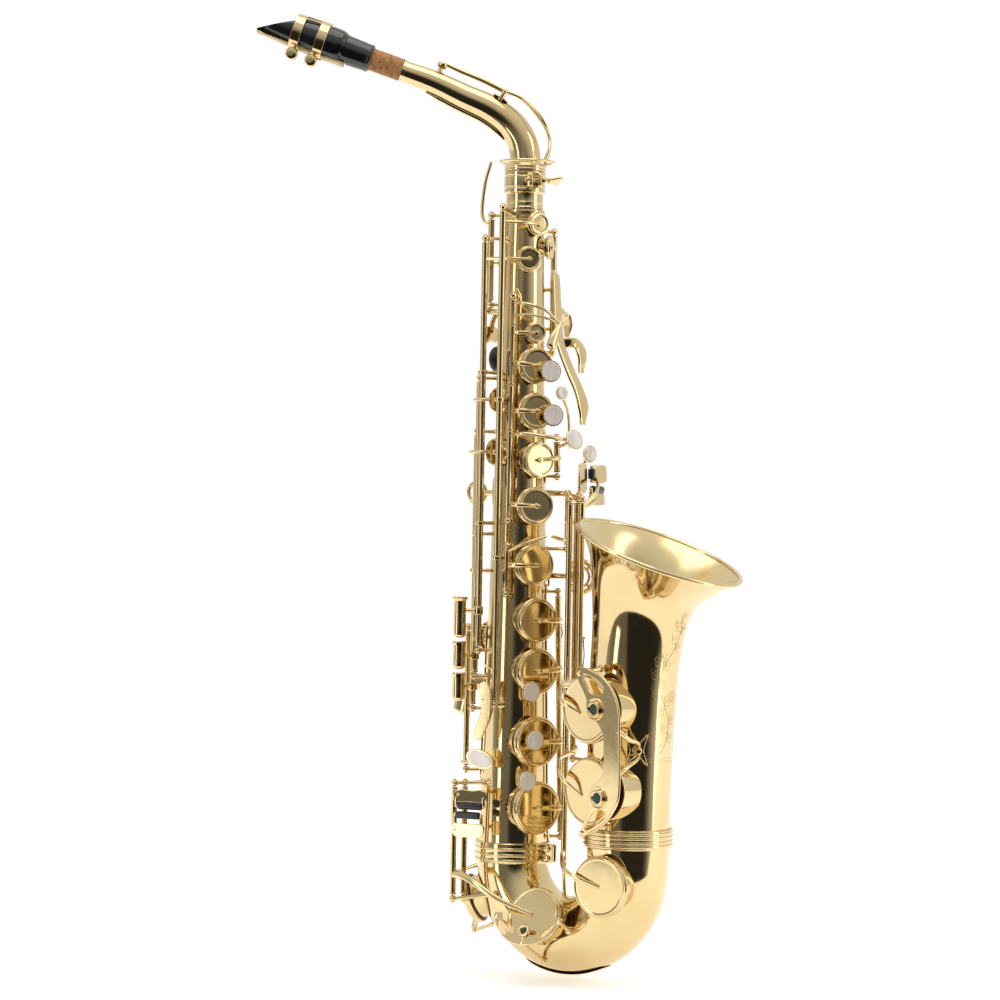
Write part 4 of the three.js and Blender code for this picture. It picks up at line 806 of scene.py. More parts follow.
def neck_octave_key():
    key = Piece()
    shift = NECK_DIR * -1.3
    key.torus(V(shift.x, shift.y, 505.4), UP, 19.5, 1.35, 96, 12, flat=0.8)
    for side in (-1, 1):
        way = [polar(19.5, NECK_PHI + 180 + side * 42, 506), polar(20.5, NECK_PHI + 180 + side * 30, 516),
               above(0.2, neck_r(0.2) + 9.5, side * 7), above(0.33, neck_r(0.33) + 9, side * 2),
               SADDLE + out_at(0.42) * 1.2]
        key.sweep(spline(way, 14), 1.25, 12)
    key.bar(SADDLE - NECK_SIDE * 2.7, SADDLE + NECK_SIDE * 2.7, 2.05)
    way = [SADDLE + out_at(0.42) * 0.8, above(0.55, neck_r(0.55) + 6.8), above(0.7, neck_r(0.7) + 6.6),
           PIP_TOP + PIP_UP * 4.1]
    key.sweep(spline(way, 14), lambda t: lerp(1.9, 1.3, t), 12, flat=0.7, up=NECK_SIDE)
    key.lathe([(0, 1.0), (3.0, 1.0), (3.7, 1.1), (3.8, 1.8), (3.8, 3.2), (3.2, 3.9), (1.2, 4.3), (0, 4.3)],
              PIP_TOP + PIP_UP * 0.3, PIP_UP, 36, r=0.25)
    key.build("neck_octave_lever", BRASS, "neck_octave_key", replaces=("neck_octave_key",), slot=SLOT)
    pad = Piece()
    pad.lathe([(0, 0), (2.6, 0), (3.2, 0.4), (3.2, 1.4), (0, 1.4)], PIP_TOP + PIP_UP * 0.3, PIP_UP, 32,
              r=0.25)
    pad.build("neck_octave_pad", CORK, "neck_octave_key")


# ------------------------------------------------------------------ mouthpiece, reed, ligature
MOUTH_START = 25
MOUTH_L = 86
TABLE = 9.6
BUTT = 18


def on_mouth(distance, height=0.0, side=0.0):
    return along_neck(MOUTH_START + distance, height, side)


def profile_at(stops, d):
    for (d0, r0), (d1, r1) in zip(stops, stops[1:]):
        if d <= d1:
            t = (d - d0) / (d1 - d0)
            return lerp(r0, r1, t * t * (3 - 2 * t) if d1 - d0 < 8 else t)
    return stops[-1][1]


def mouthpiece():
    outer = [(0, 9.4), (0.6, 10.1), (1.6, 10.4), (2.4, 10.1), (3.4, 10.15), (20, 10.9), (24.5, 12.7),
             (26.5, 13.0),
             (34, 13.1), (45, 12.5), (58, 11.3), (75, 9.7), (MOUTH_L, 8.4)]
    body = Piece()
    rows = []
    steps = 150
    for i in range(steps + 1):
        d = MOUTH_L * i / steps
        r = profile_at(outer, d)
        beak = 30 if d < 54 else lerp(10.9, -TABLE + 1.3, ((d - 54) / (MOUTH_L - 54)) ** 1.08)
        table = TABLE if d > BUTT - 1 else lerp(TABLE, r + 1, min(1, (BUTT - 1 - d) / 1.2))
        row = []
        for k in range(72):
            side, height = r * cosd(5 * k), r * sind(5 * k)
            if height > beak - 1.2:
                over = height - (beak - 1.2)
                height = beak - 1.2 + 1.2 * (1 - math.exp(-over / 1.2))
            if d > BUTT - 2:
                height = max(height, -table)
            row.append(on_mouth(d, height, side))
        rows.append(row)
    bore = [[on_mouth(d, 8.7 * sind(5 * k), 8.7 * cosd(5 * k)) for k in range(72)] for d in (14, 0.6)]
    lip = [on_mouth(0, 9.1 * sind(5 * k), 9.1 * cosd(5 * k)) for k in range(72)]
    body.rings(bore + [lip] + rows, end=on_mouth(MOUTH_L + 0.3, -TABLE + 0.6, 0))
    body.build("mouthpiece_body", EBONITE, "mouthpiece", replaces=("mouthpiece",), slot="ebonite", smooth=30)
    reed = Piece()
    rows = []
    for i in range(61):
        d = lerp(BUTT, MOUTH_L, i / 60)
        thick = 2.9 if d < BUTT + 33 else lerp(2.9, 0.25, ((d - BUTT - 33) / (MOUTH_L - BUTT - 33)) ** 0.8)
        half = min(7.4, lerp(6.6, 7.4, i / 60))
        if i > 54:
            half *= math.sqrt(max(0.05, 1 - ((i - 54) / 6.3) ** 2 * 0.5))
        row = []
        for k in range(13):
            x = lerp(-half, half, k / 12)
            row.append(on_mouth(d, -TABLE - 0.3, x))
        for k in range(12, -1, -1):
            x = lerp(-half, half, k / 12)
            row.append(on_mouth(d, -TABLE - 0.3 - thick * (1 - 0.45 * (x / half) ** 2), x))
        rows.append(row)
    middle = sum(rows[0], V(0, 0, 0)) / len(rows[0])
    tip = sum(rows[-1], V(0, 0, 0)) / len(rows[-1])
    reed.rings(rows, start=middle, end=tip)
    reed.build("reed_blade", CANE, "mouthpiece", replaces=("reed",), slot="cane", smooth=30)


LIG = (34, 62)
LIG_SCREWS = {"ligature_screw_rear": 40.5, "ligature_screw_front": 55.5}
LIG_DROP = -17.4


def ligature():
    band = Piece()
    def r_at(d):
        return lerp(13.6, 12.4, (d - LIG[0]) / (LIG[1] - LIG[0]))
    # Two bands joined by a bridge on top, open at the bottom between the screw cheeks.
    for d0, d1 in ((35.2, 42.2), (53.6, 60.6)):
        rows = []
        for i in range(9):
            d = lerp(d0, d1, i / 8)
            rows.append([on_mouth(d, r_at(d) * sind(a), r_at(d) * cosd(a))
                         for a in [-68 + 316 * k / 72 for k in range(73)]])
        band.rings(rows, closed=False)
    for a0 in (54, 90, 126):
        rows = []
        for i in range(9):
            d = lerp(42.0, 53.8, i / 8)
            waist = 1 - 0.35 * math.sin(math.pi * i / 8)
            wide = 15 if a0 == 90 else 5
            rows.append([on_mouth(d, r_at(d) * sind(a0 + s * wide * waist),
                                  r_at(d) * cosd(a0 + s * wide * waist))
                         for s in (-1, -0.5, 0, 0.5, 1)])
        band.rings(rows, closed=False)
    obj = band.build("ligature_bands", BRASS, "mouthpiece", replaces=("ligature",), slot=SLOT, solid=-1.0,
                     smooth=50)
    edge = obj.modifiers.new("edge", "BEVEL")
    edge.width = 0.00025
    edge.segments = 2
    rails = Piece()
    for d in LIG_SCREWS.values():
        for s in (-4.2, 4.2):
            rails.bar(on_mouth(d, LIG_DROP - 1.2, s), on_mouth(d, -11.4, s), 2.3, flat=0.9)
            rails.torus(on_mouth(d, LIG_DROP, s), NECK_SIDE, 2.0, 0.9, 28, 10)
    rails.build("ligature_cheeks", BRASS, "mouthpiece", slot=SLOT)
    for name, d in LIG_SCREWS.items():
        screw = Piece()
        screw.bar(on_mouth(d, LIG_DROP, -8.2), on_mouth(d, LIG_DROP, 8), 1.1)
        rings = [(0, 0), (2.0, 0), (2.2, 1.2), (4.0, 1.8), (4.6, 2.6), (4.6, 3.6), (3.8, 4.6), (2, 4.9),
                 (0, 4.9)]
        screw.lathe(rings, on_mouth(d, LIG_DROP, 6.6), NECK_SIDE, 32)
        screw.lathe([(0, 0), (2.3, 0), (2.3, 1.6), (0, 2)], on_mouth(d, LIG_DROP, -7.4), -NECK_SIDE, 20)
        screw.build(name + "_brass", BRASS, name, replaces=(name,), slot=SLOT)


# ------------------------------------------------------------------ hinge lines and posts
def upper(z):
    return polar(tube_r(z) + 9, -73, z)


def lower(z):
    return polar(tube_r(z) + 9, 28, z)


def upright(rho, phi):
    return lambda z: polar(rho, phi, z)


def standing(x, y):
    return lambda z: V(x, y, z)


FSHARP_LINE, E_LINE, C_LINE, BB_SIDE_LINE = (upright(33.5, -84), upright(32, -118), upright(32, -128),
                                             upright(32, -138))
PALM_LINE, TRILL_LINE, OCTAVE_LINE = upright(25.5, 62), upright(36, -152), upright(24, -146)
LOW_C_LINE, LOW_EB_LINE = standing(-27, -38), standing(-23.2, -30)
CSHARP_LINE, BB_LINE, B_LINE, LEVER_LINE = standing(47, -4), standing(48.5, 3.5), standing(55.5,
                                                                                           -1), standing(37,
                                                                                                         9)
THUMB_Z = 396


def thumb_line(y):
    return V(-(tube_r(THUMB_Z) + 7), y, THUMB_Z)


def post(piece, foot, head, key_way=None):
    """A turned post: flange, waisted stem and ball, with the pivot screw's slotted head away from its key."""
    way = head - foot
    h = way.length
    stem = [(0, 0), (3.1, 0), (3.1, 0.7), (2.2, 1.2), (1.55, 2.2), (1.25, h * 0.5), (1.3, h - 2.9),
            (1.9, h - 2.5),
            (1.5, h - 2.1), (2.1, h - 1.7)]
    ball = [(2.55 * cosd(a), h + 2.55 * sind(a)) for a in range(-40, 85, 14)]
    piece.lathe(stem + ball + [(0, h + 2.55)], foot, way, 22, r=0.12)
    if key_way is not None:
        piece.lathe([(0, 0), (1.5, 0), (1.5, 0.7), (0, 1.0)], head + key_way * 2.0, key_way, 16, r=0.15)


HELD = [(upper, 189, 224, -73), (upper, 242.5, 406, -73), (lower, 11, 190.5, 28), (lower, 275, 303.5, 28),
        (FSHARP_LINE, 108.5, 469.5, -84), (E_LINE, 147, 448, -118), (C_LINE, 127.5, 346, -128),
        (BB_SIDE_LINE, 104, 307, -138), (PALM_LINE, 366.5, 455.5, 62), (TRILL_LINE, 58.5, 163, -152),
        (OCTAVE_LINE, 400.5, 466, -146)]
# Extra guides that the long rods run through: line, height, direction.
GUIDES = [(FSHARP_LINE, 215, -84), (FSHARP_LINE, 330, -84), (E_LINE, 240, -118), (E_LINE, 350, -118),
          (C_LINE, 232, -128), (BB_SIDE_LINE, 205, -138)]


def tube_foot(phi, z, sink=0.6):
    return polar(tube_r(z) - sink, phi, min(z, 466))


def posts():
    p = Piece()
    for line, low, high, phi in HELD:
        post(p, tube_foot(phi, low), line(low), -UP)
        post(p, tube_foot(phi, high), line(high), UP)
    post(p, tube_foot(-120, 50), LOW_C_LINE(50), UP)
    post(p, tube_foot(-130, 50), LOW_EB_LINE(50), UP)
    for y in (-12, 12):
        post(p, tube_foot(180 - y * 3, THUMB_Z), thumb_line(y))
    hub = V(38, 6, 262.5)
    p.bar(tube_foot(18, hub.z), hub, 2.6, r_end=2.0)
    p.ball(hub, 3)
    for head in (CSHARP_LINE(259), BB_LINE(259), B_LINE(259), LEVER_LINE(262)):
        post(p, hub, head)
    post(p, tube_foot(14, 222), LEVER_LINE(222), -UP)
    post(p, V(4, -25.6, -30), LOW_C_LINE(-34.5), -UP)
    post(p, V(3, -25.6, -30), LOW_EB_LINE(-34.5), -UP)
    post(p, V(48, -3, -31.5), CSHARP_LINE(-6.5), -UP)
    post(p, V(72, 0, 70), BB_LINE(70), -UP)
    post(p, V(73.5, 0, 119), B_LINE(119), -UP)
    for line, z, phi in GUIDES:
        centre = line(z)
        p.bar(tube_foot(phi, z), centre + (tube_foot(phi, z) - centre).normalized() * 3.0, 1.7, r_end=1.2)
        p.lathe([(2.65, -1.4), (3.7, -1.4), (3.7, 1.4), (2.65, 1.4)], centre, UP, 28, r=0.35, loop=True)
    p.brass("posts")
    ribs = Piece()
    for phi, z0, z1, wide in ((-73, 183, 412, 7), (28, 5, 196, 7), (28, 269, 309, 7), (-128, 98, 136, 20),
                              (-84, 322, 338, 7), (62, 360, 461, 7), (-152, 52, 169, 7), (-146, 394, 466, 7)):
        rows = []
        for i in range(41):
            z = lerp(z0, z1, i / 40)
            edge = min(1, math.sqrt(max(0.02, min(i, 40 - i) * (z1 - z0) / 40 / 3.5)))
            arc = [(-wide / 2 * edge, -0.4), (-wide / 2 * edge, 0.75), (-wide / 2 * edge + 0.4, 1.1),
                   (wide / 2 * edge - 0.4, 1.1), (wide / 2 * edge, 0.75), (wide / 2 * edge, -0.4)]
            rows.append([polar(tube_r(z) + h, phi + math.degrees(w / tube_r(z)), z) for w, h in arc])
        ribs.rings(rows, closed=True, start=sum(rows[0], V(0, 0, 0)) / 6, end=sum(rows[-1], V(0, 0, 0)) / 6)
    ribs.brass("post_ribs")


# ------------------------------------------------------------------ keys
def turn_to_rest(node):
    """Closed to rest about the key's hinge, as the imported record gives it."""
    joint = JOINTS[node + "_hinge"]
    rest = -joint["range_deg"][0]
    if rest <= 0:
        return Matrix.Identity(4)
    at = Vector(joint["pos_m"]) / MM - ORIGIN
    return (Matrix.Translation(at) @ Matrix.Rotation(math.radians(rest), 4, Vector(joint["axis"]))
            @ Matrix.Translation(-at))


class Key:
    """One key: brass, pads, resonators, pearls and springs, all riding the key's body."""

    def __init__(self, node, line=None, z0=0, z1=0):
        self.node, self.line = node, line
        self.metal, self.pads, self.discs, self.pearls, self.springs = [Piece() for part in range(5)]
        if line:
            self.hinge(line, z0, z1)

    def hinge(self, line, z0, z1):
        way = (line(z1) - line(z0)).normalized()
        length = (line(z1) - line(z0)).length
        tube = [(1.3, 0), (2.3, 0), (2.45, 0.4), (2.45, 1.5), (2.3, 1.8), (2.3, length - 1.8),
                (2.45, length - 1.5),
                (2.45, length - 0.4), (2.3, length), (1.3, length)]
        self.metal.lathe(tube, line(z0), way, 28, r=0.12, loop=True)

    def cup(self, seat):
        c, h = seat.cup, seat.height
        deep = h > 5
        lip = 0.9 if deep else 0.6
        shell = [(0, 2.4), (c - 1.3, 2.4), (c - 1.3, 1.2), (c - 0.1, 1.1), (c, 1.3),
                 (c, h - 3.0 if deep else h - 2.0),
                 (c - 0.5, h - 2.5 if deep else h - 1.6), (c - 0.9, h - 2.3 if deep else h - 1.4),
                 (c - 1.0, h - 0.6),
                 (c - 1.3, h - 0.2), (c - 1.3 - lip, h - 0.1), (c - 1.7 - lip, h - 0.5),
                 (c - 2.6 - lip, h - 0.62),
                 (0, h - 0.5)]
        self.metal.lathe(shell, seat.centre, seat.normal, 72, r=0.2)
        hole = seat.hole
        pad = [(0, 0.45), (hole - 0.6, 0.45), (hole + 0.1, 0.8), (hole + 0.9, 0.75), (hole + 1.5, 0.42),
               (c - 1.4, 0.38), (c - 0.75, 0.8), (c - 0.75, 1.6), (c - 1.4, 2.4), (0, 2.4)]
        self.pads.lathe(pad, seat.centre, seat.normal, 64, r=0.3)
        r = hole * 0.6
        disc = [(0, 0.5), (r, 0.5), (r, 0.2), (r * 0.7, -0.15), (1.6, -0.2), (1.4, -0.6), (0, -0.8)]
        self.discs.lathe(disc[::-1], seat.centre, seat.normal, 40, r=0.15)
        return self

    def cup_arm(self, z, seat, r=1.7, past=0.12):
        """From the hinge up over the cup's edge to just past its middle."""
        start = self.line(z)
        top = seat.centre + seat.normal * (seat.height + 0.05)
        def raised(share, height):
            p = start.lerp(top, share)
            return p + seat.normal * max(0, (top - p).dot(seat.normal) + height)
        way = [start, raised(0.3, -0.4), raised(0.62, 0.7), top, raised(1 + past, -0.15)]
        path = spline(way, 9)
        self.metal.sweep(path, lambda t: r * (1.25 - 0.45 * t if t < 0.9 else 0.85 - 3.2 * (t - 0.9)), 14,
                         flat=0.7,
                         up=seat.normal)
        self.metal.lathe([(0, -2), (2.1, -2), (2.1, 0.5), (1.7, 0.8), (0, 1.0)], top, seat.normal, 20, r=0.25)
        return self

    def arm(self, points, r=1.5, flat=0.75, up=None, taper=0.9):
        self.metal.arm(points, r, flat, up, 14, taper)
        return self

    def pearl(self, centre, normal, r, stem=None):
        n = normal.normalized()
        self.metal.lathe([(0, 0), (r - 2, 0), (r - 0.2, 1.9), (r, 2.3), (r, 3.1), (r - 0.75, 3.15),
                          (r - 0.8, 2.4),
                          (0, 2.4)], centre, n, 44, r=0.18)
        self.pearls.lathe([(0, 2.5), (r - 0.85, 2.5), (r - 0.85, 3.3), (r - 1.3, 3.75), (r - 2.6, 3.7),
                           (0, 3.35)],
                          centre, n, 44, r=0.25)
        if stem is not None:
            self.metal.bar(stem, centre + n * 0.8, 2.0, r_end=1.5)
        return self

    def spring(self, z0, z1, side):
        """A blued needle spring from a post to its hook on the hinge tube."""
        a, b = self.line(z0) + side * 1.4, self.line(z1) + side * 2.5
        self.springs.sweep(spline([a, a.lerp(b, 0.5) + side * 1.4, b], 8), 0.38, 8)
        self.metal.bar(self.line(z1) + side * 1.6, self.line(z1) + side * 3.6, 0.9)
        return self

    def done(self):
        """Builds the key's pieces, turned to their rest pose."""
        node, turn = self.node, turn_to_rest(self.node)
        self.metal.build(node + "_brass", BRASS, node, turn, (node,), SLOT)
        for piece, kind, mat in ((self.pads, "pads", LEATHER), (self.discs, "resonators", STEEL),
                                 (self.pearls, "pearls", PEARL), (self.springs, "springs", BLUED)):
            if piece.verts:
                obj = piece.build(f"{node}_{kind}", mat, node, turn)


def upper_stack():
    b, small_c, a, g, bis, gsharp = (SEATS[n] for n in ("b", "c", "a", "g", "bis", "gsharp"))
    out = polar(1, -95)
    key = Key("b_key", upper, 341, 384).cup(b).cup(small_c).cup_arm(357, b).cup_arm(379, small_c, 1.3)
    key.pearl(b.over(10, -8, -4), b.normal, 8, b.over(5.5, -3, -2)).spring(343, 366, out).done()
    key = Key("a_key", upper, 308, 340.3).cup(a).cup_arm(322, a)
    key.pearl(a.over(10, -10, -3), a.normal, 8, a.over(5.5, -6, -1)).spring(310, 333, out).done()
    key = Key("g_key", upper, 246, 307.3).cup(g).cup_arm(254, g)
    pearl = polar(42, 6, 301)
    key.arm([upper(304), polar(33.5, -52, 305.5), polar(37.5, -25, 303.5), polar(40, -2, 301.5), pearl], 1.6)
    key.pearl(pearl, polar(1, -10, 0.2), 7.6).spring(262, 288, out).done()
    key = Key("bis_key", lower, 278, 300.5).cup(bis).cup_arm(289, bis)
    pearl = a.over(12.5, -12.5, 13.5)
    key.arm([lower(296.5), polar(34.5, 21, 300), polar(36, 10, 322), pearl], 1.4)
    key.pearl(pearl, bis.normal, 5.2).done()
    key = Key("front_f_key", upper, 384.7, 403)
    tip, low = polar(36, -6, 386), polar(36.5, -20, 370)
    key.arm([upper(401), polar(31, -55, 400), polar(34, -30, 396), tip], 1.4)
    key.arm([upper(391), polar(30, -52, 392), polar(33, -28, 390), tip], 1.2)
    drop = [tip.lerp(low, k / 20) for k in range(-1, 22)]
    key.metal.sweep(drop, lambda t: 1.9 + 2.7 * math.sin(min(1, t * 1.25) * math.pi / 2) ** 1.6, 24,
                    flat=0.62,
                    up=polar(1, -13))
    key.done()
    key = Key("gsharp_key", upper, 192, 221).cup(gsharp).cup_arm(210, gsharp)
    key.arm([upper(219.5), polar(33, -48, 226), polar(36.5, -24, 231)], 1.5).spring(194, 206, out).done()


def lower_stack():
    out = polar(1, 60)
    for node, z0, z1, seat, z, pearl, stem, spring in (
            ("fsharp_key", 151.5, 187.5, "fsharp", 170, None, None, (153, 166)),
            ("f_key", 108, 151.2, "f", 135, (10.5, 11, -14), (5.4, 7, -9), (110, 128)),
            ("e_key", 60, 107.7, "e", 82, (10.5, 8, 2), (5.6, 6, 1.5), (62, 78)),
            ("d_key", 14, 59.7, "d", 34, (10.5, 15, 21), (5.4, 10, 13), (36, 54))):
        seat = SEATS[seat]
        key = Key(node, lower, z0, z1).cup(seat).cup_arm(z, seat, 1.8)
        if pearl:
            key.pearl(seat.over(*pearl), seat.normal, 7.6, seat.over(*stem))
        key.spring(*spring, out).done()


def stack_rods():
    for name, line, z0, z1 in (("upper_stack_rod", upper, 245.3, 403.2),
                               ("lower_stack_rod", lower, 13.8, 187.7)):
        rod = Piece().bar(line(z0), line(z1), 1.1, 20)
        rod.build(name + "_steel", STEEL, "body", replaces=(name,), slot="steel")


def palm_blade(key, path, widths, thick, facing):
    """A flat forged lever: a ribbon along the path that widens into its touch."""
    dense = spline(path, 12)
    last = len(dense) - 1
    rows = []
    for i, p in enumerate(dense):
        t = (dense[min(i + 1, last)] - dense[max(i - 1, 0)]).normalized()
        side = facing.cross(t).normalized()
        out = t.cross(side)
        share = i / last * (len(widths) - 1)
        k = min(int(share), len(widths) - 2)
        w = lerp(widths[k], widths[k + 1], share - k) / 2
        row = []
        for a in range(0, 360, 20):
            ca, sa = cosd(a), sind(a)
            u = w * math.copysign(abs(ca) ** 0.5, ca)
            v = thick / 2 * math.copysign(abs(sa) ** 0.7, sa) * (1 if abs(ca) < 0.9 else 0.6)
            row.append(p + side * u + out * v)
        rows.append(row)
    key.metal.rings(rows, start=dense[0], end=dense[-1])


def palm_keys():
    f, eb, d = SEATS["palm_f"], SEATS["palm_eb"], SEATS["palm_d"]
    key = Key("palm_f_key", PALM_LINE, 420.6, 452.7).cup(f).cup_arm(443, f, 1.4)
    way = [PALM_LINE(427), polar(25.5, 55, 424), polar(26, 46, 400), polar(28, 41, 375), polar(35, 39, 355),
           polar(42, 39, 340), polar(46, 39, 327), polar(46, 39, 313.5)]
    palm_blade(key, way, [5, 8, 9, 9, 9, 10, 12, 5], 2.2, polar(1, -8))
    key.done()
    key = Key("palm_eb_key", PALM_LINE, 397, 420.3).cup(eb).cup_arm(413, eb, 1.4)
    way = [PALM_LINE(400), polar(33, 68, 398), polar(41, 72, 396), polar(43, 72, 388), polar(42.6, 72, 379)]
    palm_blade(key, way, [4, 5, 9, 11, 4.5], 2.2, polar(1, 72))
    key.done()
    key = Key("palm_d_key", PALM_LINE, 369.3, 396.7).cup(d).cup_arm(384, d, 1.4)
    way = [PALM_LINE(373), polar(34, 59, 374), polar(42, 54, 374), polar(46.5, 52, 367), polar(46.3, 52, 352)]
    palm_blade(key, way, [5, 7, 8, 11, 5], 2.2, polar(1, -8))
    key.done()


SIDE_TOUCH = upright(45, -125)


def side_touch(key, z0, z1, stem_z, flare=0.0):
    """A forefinger touch: a barrel with a waist and rounded shoulders."""
    h = z1 - z0
    key.metal.lathe([(0, 0), (2.4, 0), (4.0, 0.7), (4.7, 2.2), (4.75, 5), (4.6, h * 0.6), (4.7, h - 3),
                     (5.1 + flare, h - 1), (4.9 + flare, h), (4.2, h + 0.1), (0, h - 0.3)], SIDE_TOUCH(z0),
                    UP, 44, r=0.5)
    key.metal.bar(key.line(stem_z), SIDE_TOUCH(stem_z), 1.8, r_end=1.4)
    key.metal.lathe([(1.6, -3), (3.3, -3), (3.3, 3), (1.6, 3)], key.line(stem_z), UP, 24, r=0.6, loop=True)


def side_keys():
    e, c, bb, fs, trill = (SEATS[n] for n in ("high_e", "side_c", "side_bb", "high_fsharp", "trill_fsharp"))
    def over_arm(key, z, seat, *way):
        top = seat.centre + seat.normal * (seat.height + 0.2)
        key.arm([key.line(z), *way, top], 1.5, 0.75, taper=0.8)
        key.metal.lathe([(0, -2), (2.0, -2), (2.0, 0.4), (0, 0.9)], top, seat.normal, 20, r=0.3)
    key = Key("side_e_key", E_LINE, 149.8, 445.2).cup(e)
    over_arm(key, 433, e, polar(27, -100, 433), polar(25.5, -72, 433))
    side_touch(key, 156, 186, 176, 0.8)
    key.done()
    key = Key("side_c_key", C_LINE, 130.3, 343.2).cup(c)
    over_arm(key, 330, c, polar(37, -122, 330), polar(36, -108.5, 330))
    side_touch(key, 133, 153.5, 143)
    key.done()
    key = Key("side_bb_key", BB_SIDE_LINE, 106.8, 304.2).cup(bb)
    over_arm(key, 292, bb, polar(37.2, -132, 292), polar(37.4, -120, 292), polar(36, -110, 292))
    side_touch(key, 110, 130.6, 120)
    key.done()
    key = Key("high_fsharp_key", FSHARP_LINE, 111.3, 466.7).cup(fs)
    over_arm(key, 459, fs, polar(29, -60, 459), polar(24, -38, 459))
    key.metal.bar(FSHARP_LINE(114), polar(38.5, -94, 112), 1.9, r_end=1.5)
    boomerang = smooth_loop([(2.5, 21), (6.2, 15), (7, 5), (6.4, -4), (2.4, -14), (-1.5, -21),
                             (-5.2, -21.8), (-6.8, -18),
                             (-5.2, -11), (-2, -2), (-1.4, 6), (-3, 14), (-2.6, 20)])
    key.metal.slab(boomerang, 2.2, polar(38.5, -94, 104), polar(1, 10), UP, 0.7)
    key.done()
    key = Key("fsharp_trill_key", TRILL_LINE, 61.3, 160.2).cup(trill).cup_arm(156, trill, 1.4)
    key.arm([TRILL_LINE(64), polar(40, -132, 65), polar(39, -112, 66), polar(36.5, -98, 68.5)], 1.5)
    centre, face = polar(36, -99, 68.5), polar(1, -84)
    tilt = Matrix.Rotation(math.radians(-16), 4, face)
    right, up = tilt @ polar(1, 6), tilt @ UP
    for piece, half, flat, thick, lift, bevel in ((key.metal, 11.6, 6.8 / 11.6, 2.6, 1.3, 0.6),
                                                  (key.pearls, 10.4, 5.6 / 10.4, 1.6, 2.7, 0.7)):
        piece.slab(circle(40, half, flat), thick, centre + face * lift, right, up, bevel)
    key.done()


# ------------------------------------------------------------------ octave mechanism and what the thumbs hold
BACK = V(-1, 0, 0)


def octave_keys():
    key = Key("octave_thumb_lever")
    key.metal.bar(thumb_line(-9), thumb_line(9), 2.3, 24)
    key.arm([thumb_line(0), V(-26.5, 0, 388), V(-27.3, 0, 381)], 2.0)
    plate = smooth_loop([(-9, 2), (-6, 6), (0, 6.2), (6, 6), (9, 2), (8.6, -3), (5, -6), (0, -4.6),
                         (-5, -6), (-8.6, -3)])
    key.metal.slab(plate, 2.2, V(-27.8, 0, 379), SIDEWAYS, UP, 0.7)
    key.arm([thumb_line(-6.5), V(-24.5, -8.5, 404), V(-25, -9.5, 411)], 1.4)
    key.done()
    key = Key("body_octave_key", OCTAVE_LINE, 403.3, 463.2).cup(PIP)
    key.arm([OCTAVE_LINE(432), polar(26, -166, 432), PIP.centre + PIP.normal * 4.6], 1.3)
    key.arm([OCTAVE_LINE(412), polar(29, -155, 412), V(-29.4, -9.5, 410)], 1.3)
    key.arm([OCTAVE_LINE(459), polar(30, -150, 463), polar(29.5, -150, 488), polar(25.3, -150, 505)], 1.3,
            1.0)
    key.done()


def thumb_parts():
    rest = Piece()
    foot = V(-(tube_r(361) + 0.3), 0, 361)
    rest.lathe([(0, 0), (7.4, 0), (9.2, 3.2), (9.6, 4.4), (9.3, 6.2), (8.4, 7.0), (3, 6.9), (0, 6.8)], foot,
               BACK, 56, r=0.5)
    rest.build("thumb_rest_button", BLACK, "body", replaces=("thumb_rest",), slot="black_plastic")
    felt = Piece().lathe([(0, 0), (5.2, 0), (5.2, 2.4), (0, 2.6)], V(-(tube_r(378) + 0.2), 0, 377.2), BACK,
                         32)
    felt.build("thumb_lever_felt", RED_FELT, "body")
    hook = Piece()
    root = tube_r(96) + 0.9
    way = spline([V(-root, 0, 97), V(-root - 0.5, 0, 112), V(-root - 3.5, 0, 121), V(-root - 12, 0, 121.5),
                  V(-root - 22, 0, 113), V(-root - 26, 0, 99.5)], 12)
    hook.sweep(way, lambda t: lerp(6.4, 5.6, t), 20, flat=0.26, up=SIDEWAYS)
    hook.slab(rounded_rect(13.5, 27, 3.5), 1.4, V(-root + 0.1, 0, 110), SIDEWAYS, UP, 0.4)
    for z in (102, 117):
        hook.lathe([(0, 0), (2.2, 0), (2.2, 1.2), (1.6, 1.9), (0, 2.0)], V(-root - 0.8, 0, z), BACK, 22)
    hook.brass("thumb_hook_brass", "thumb_hook")
    ring = Piece()
    x, z = -37.5, 262
    surface = tube_r(z) + 0.3
    ring.torus(V(x, 0, z), SIDEWAYS, 7.6, 1.65, 64, 16)
    ring.lathe([(0, 0), (4.2, 0), (3.4, 1.4), (2.6, 4), (2.4, 8.8), (0, 9.4)], V(-surface - 0.8, 0, z),
               BACK, 28)
    ring.slab(smooth_loop([(0, 13), (3.6, 11), (4.5, 4), (4.5, -4), (3.6, -11), (0, -13), (-3.6, -11),
                           (-4.5, -4),
                           (-4.5, 4), (-3.6, 11)]), 1.5, V(-surface - 0.9, 0, z), SIDEWAYS, UP, 0.4)
    ring.brass("strap_ring_brass", "strap_ring")


# ------------------------------------------------------------------ little finger tables
TABLE_WIDE = V(-0.2, 0.98, 0).normalized()


def on_table(y, z, out=0.0):
    return V(49.2 - 0.2 * y + out, y + out * 0.2, z)


def roller(node, carrier, a, b):
    piece = Piece()
    length = (b - a).length
    piece.lathe([(1.15, 0), (2.3, 0), (2.7, 0.5), (2.7, length - 0.5), (2.3, length), (1.15, length)], a,
                b - a, 32,
                r=0.25, loop=True)
    piece.build(node + "_resin", BLACK, node, turn_to_rest(carrier), (node,), "black_plastic")


def roller_pin(key, a, b, towards):
    step = (b - a).normalized() * 1.4
    ends = [a - step, b + step]
    key.metal.bar(*ends, 0.7)
    for end in ends:
        key.metal.bar(end, end + towards, 1.3, r_end=1.5)
        key.metal.ball(end, 1.5, 16)


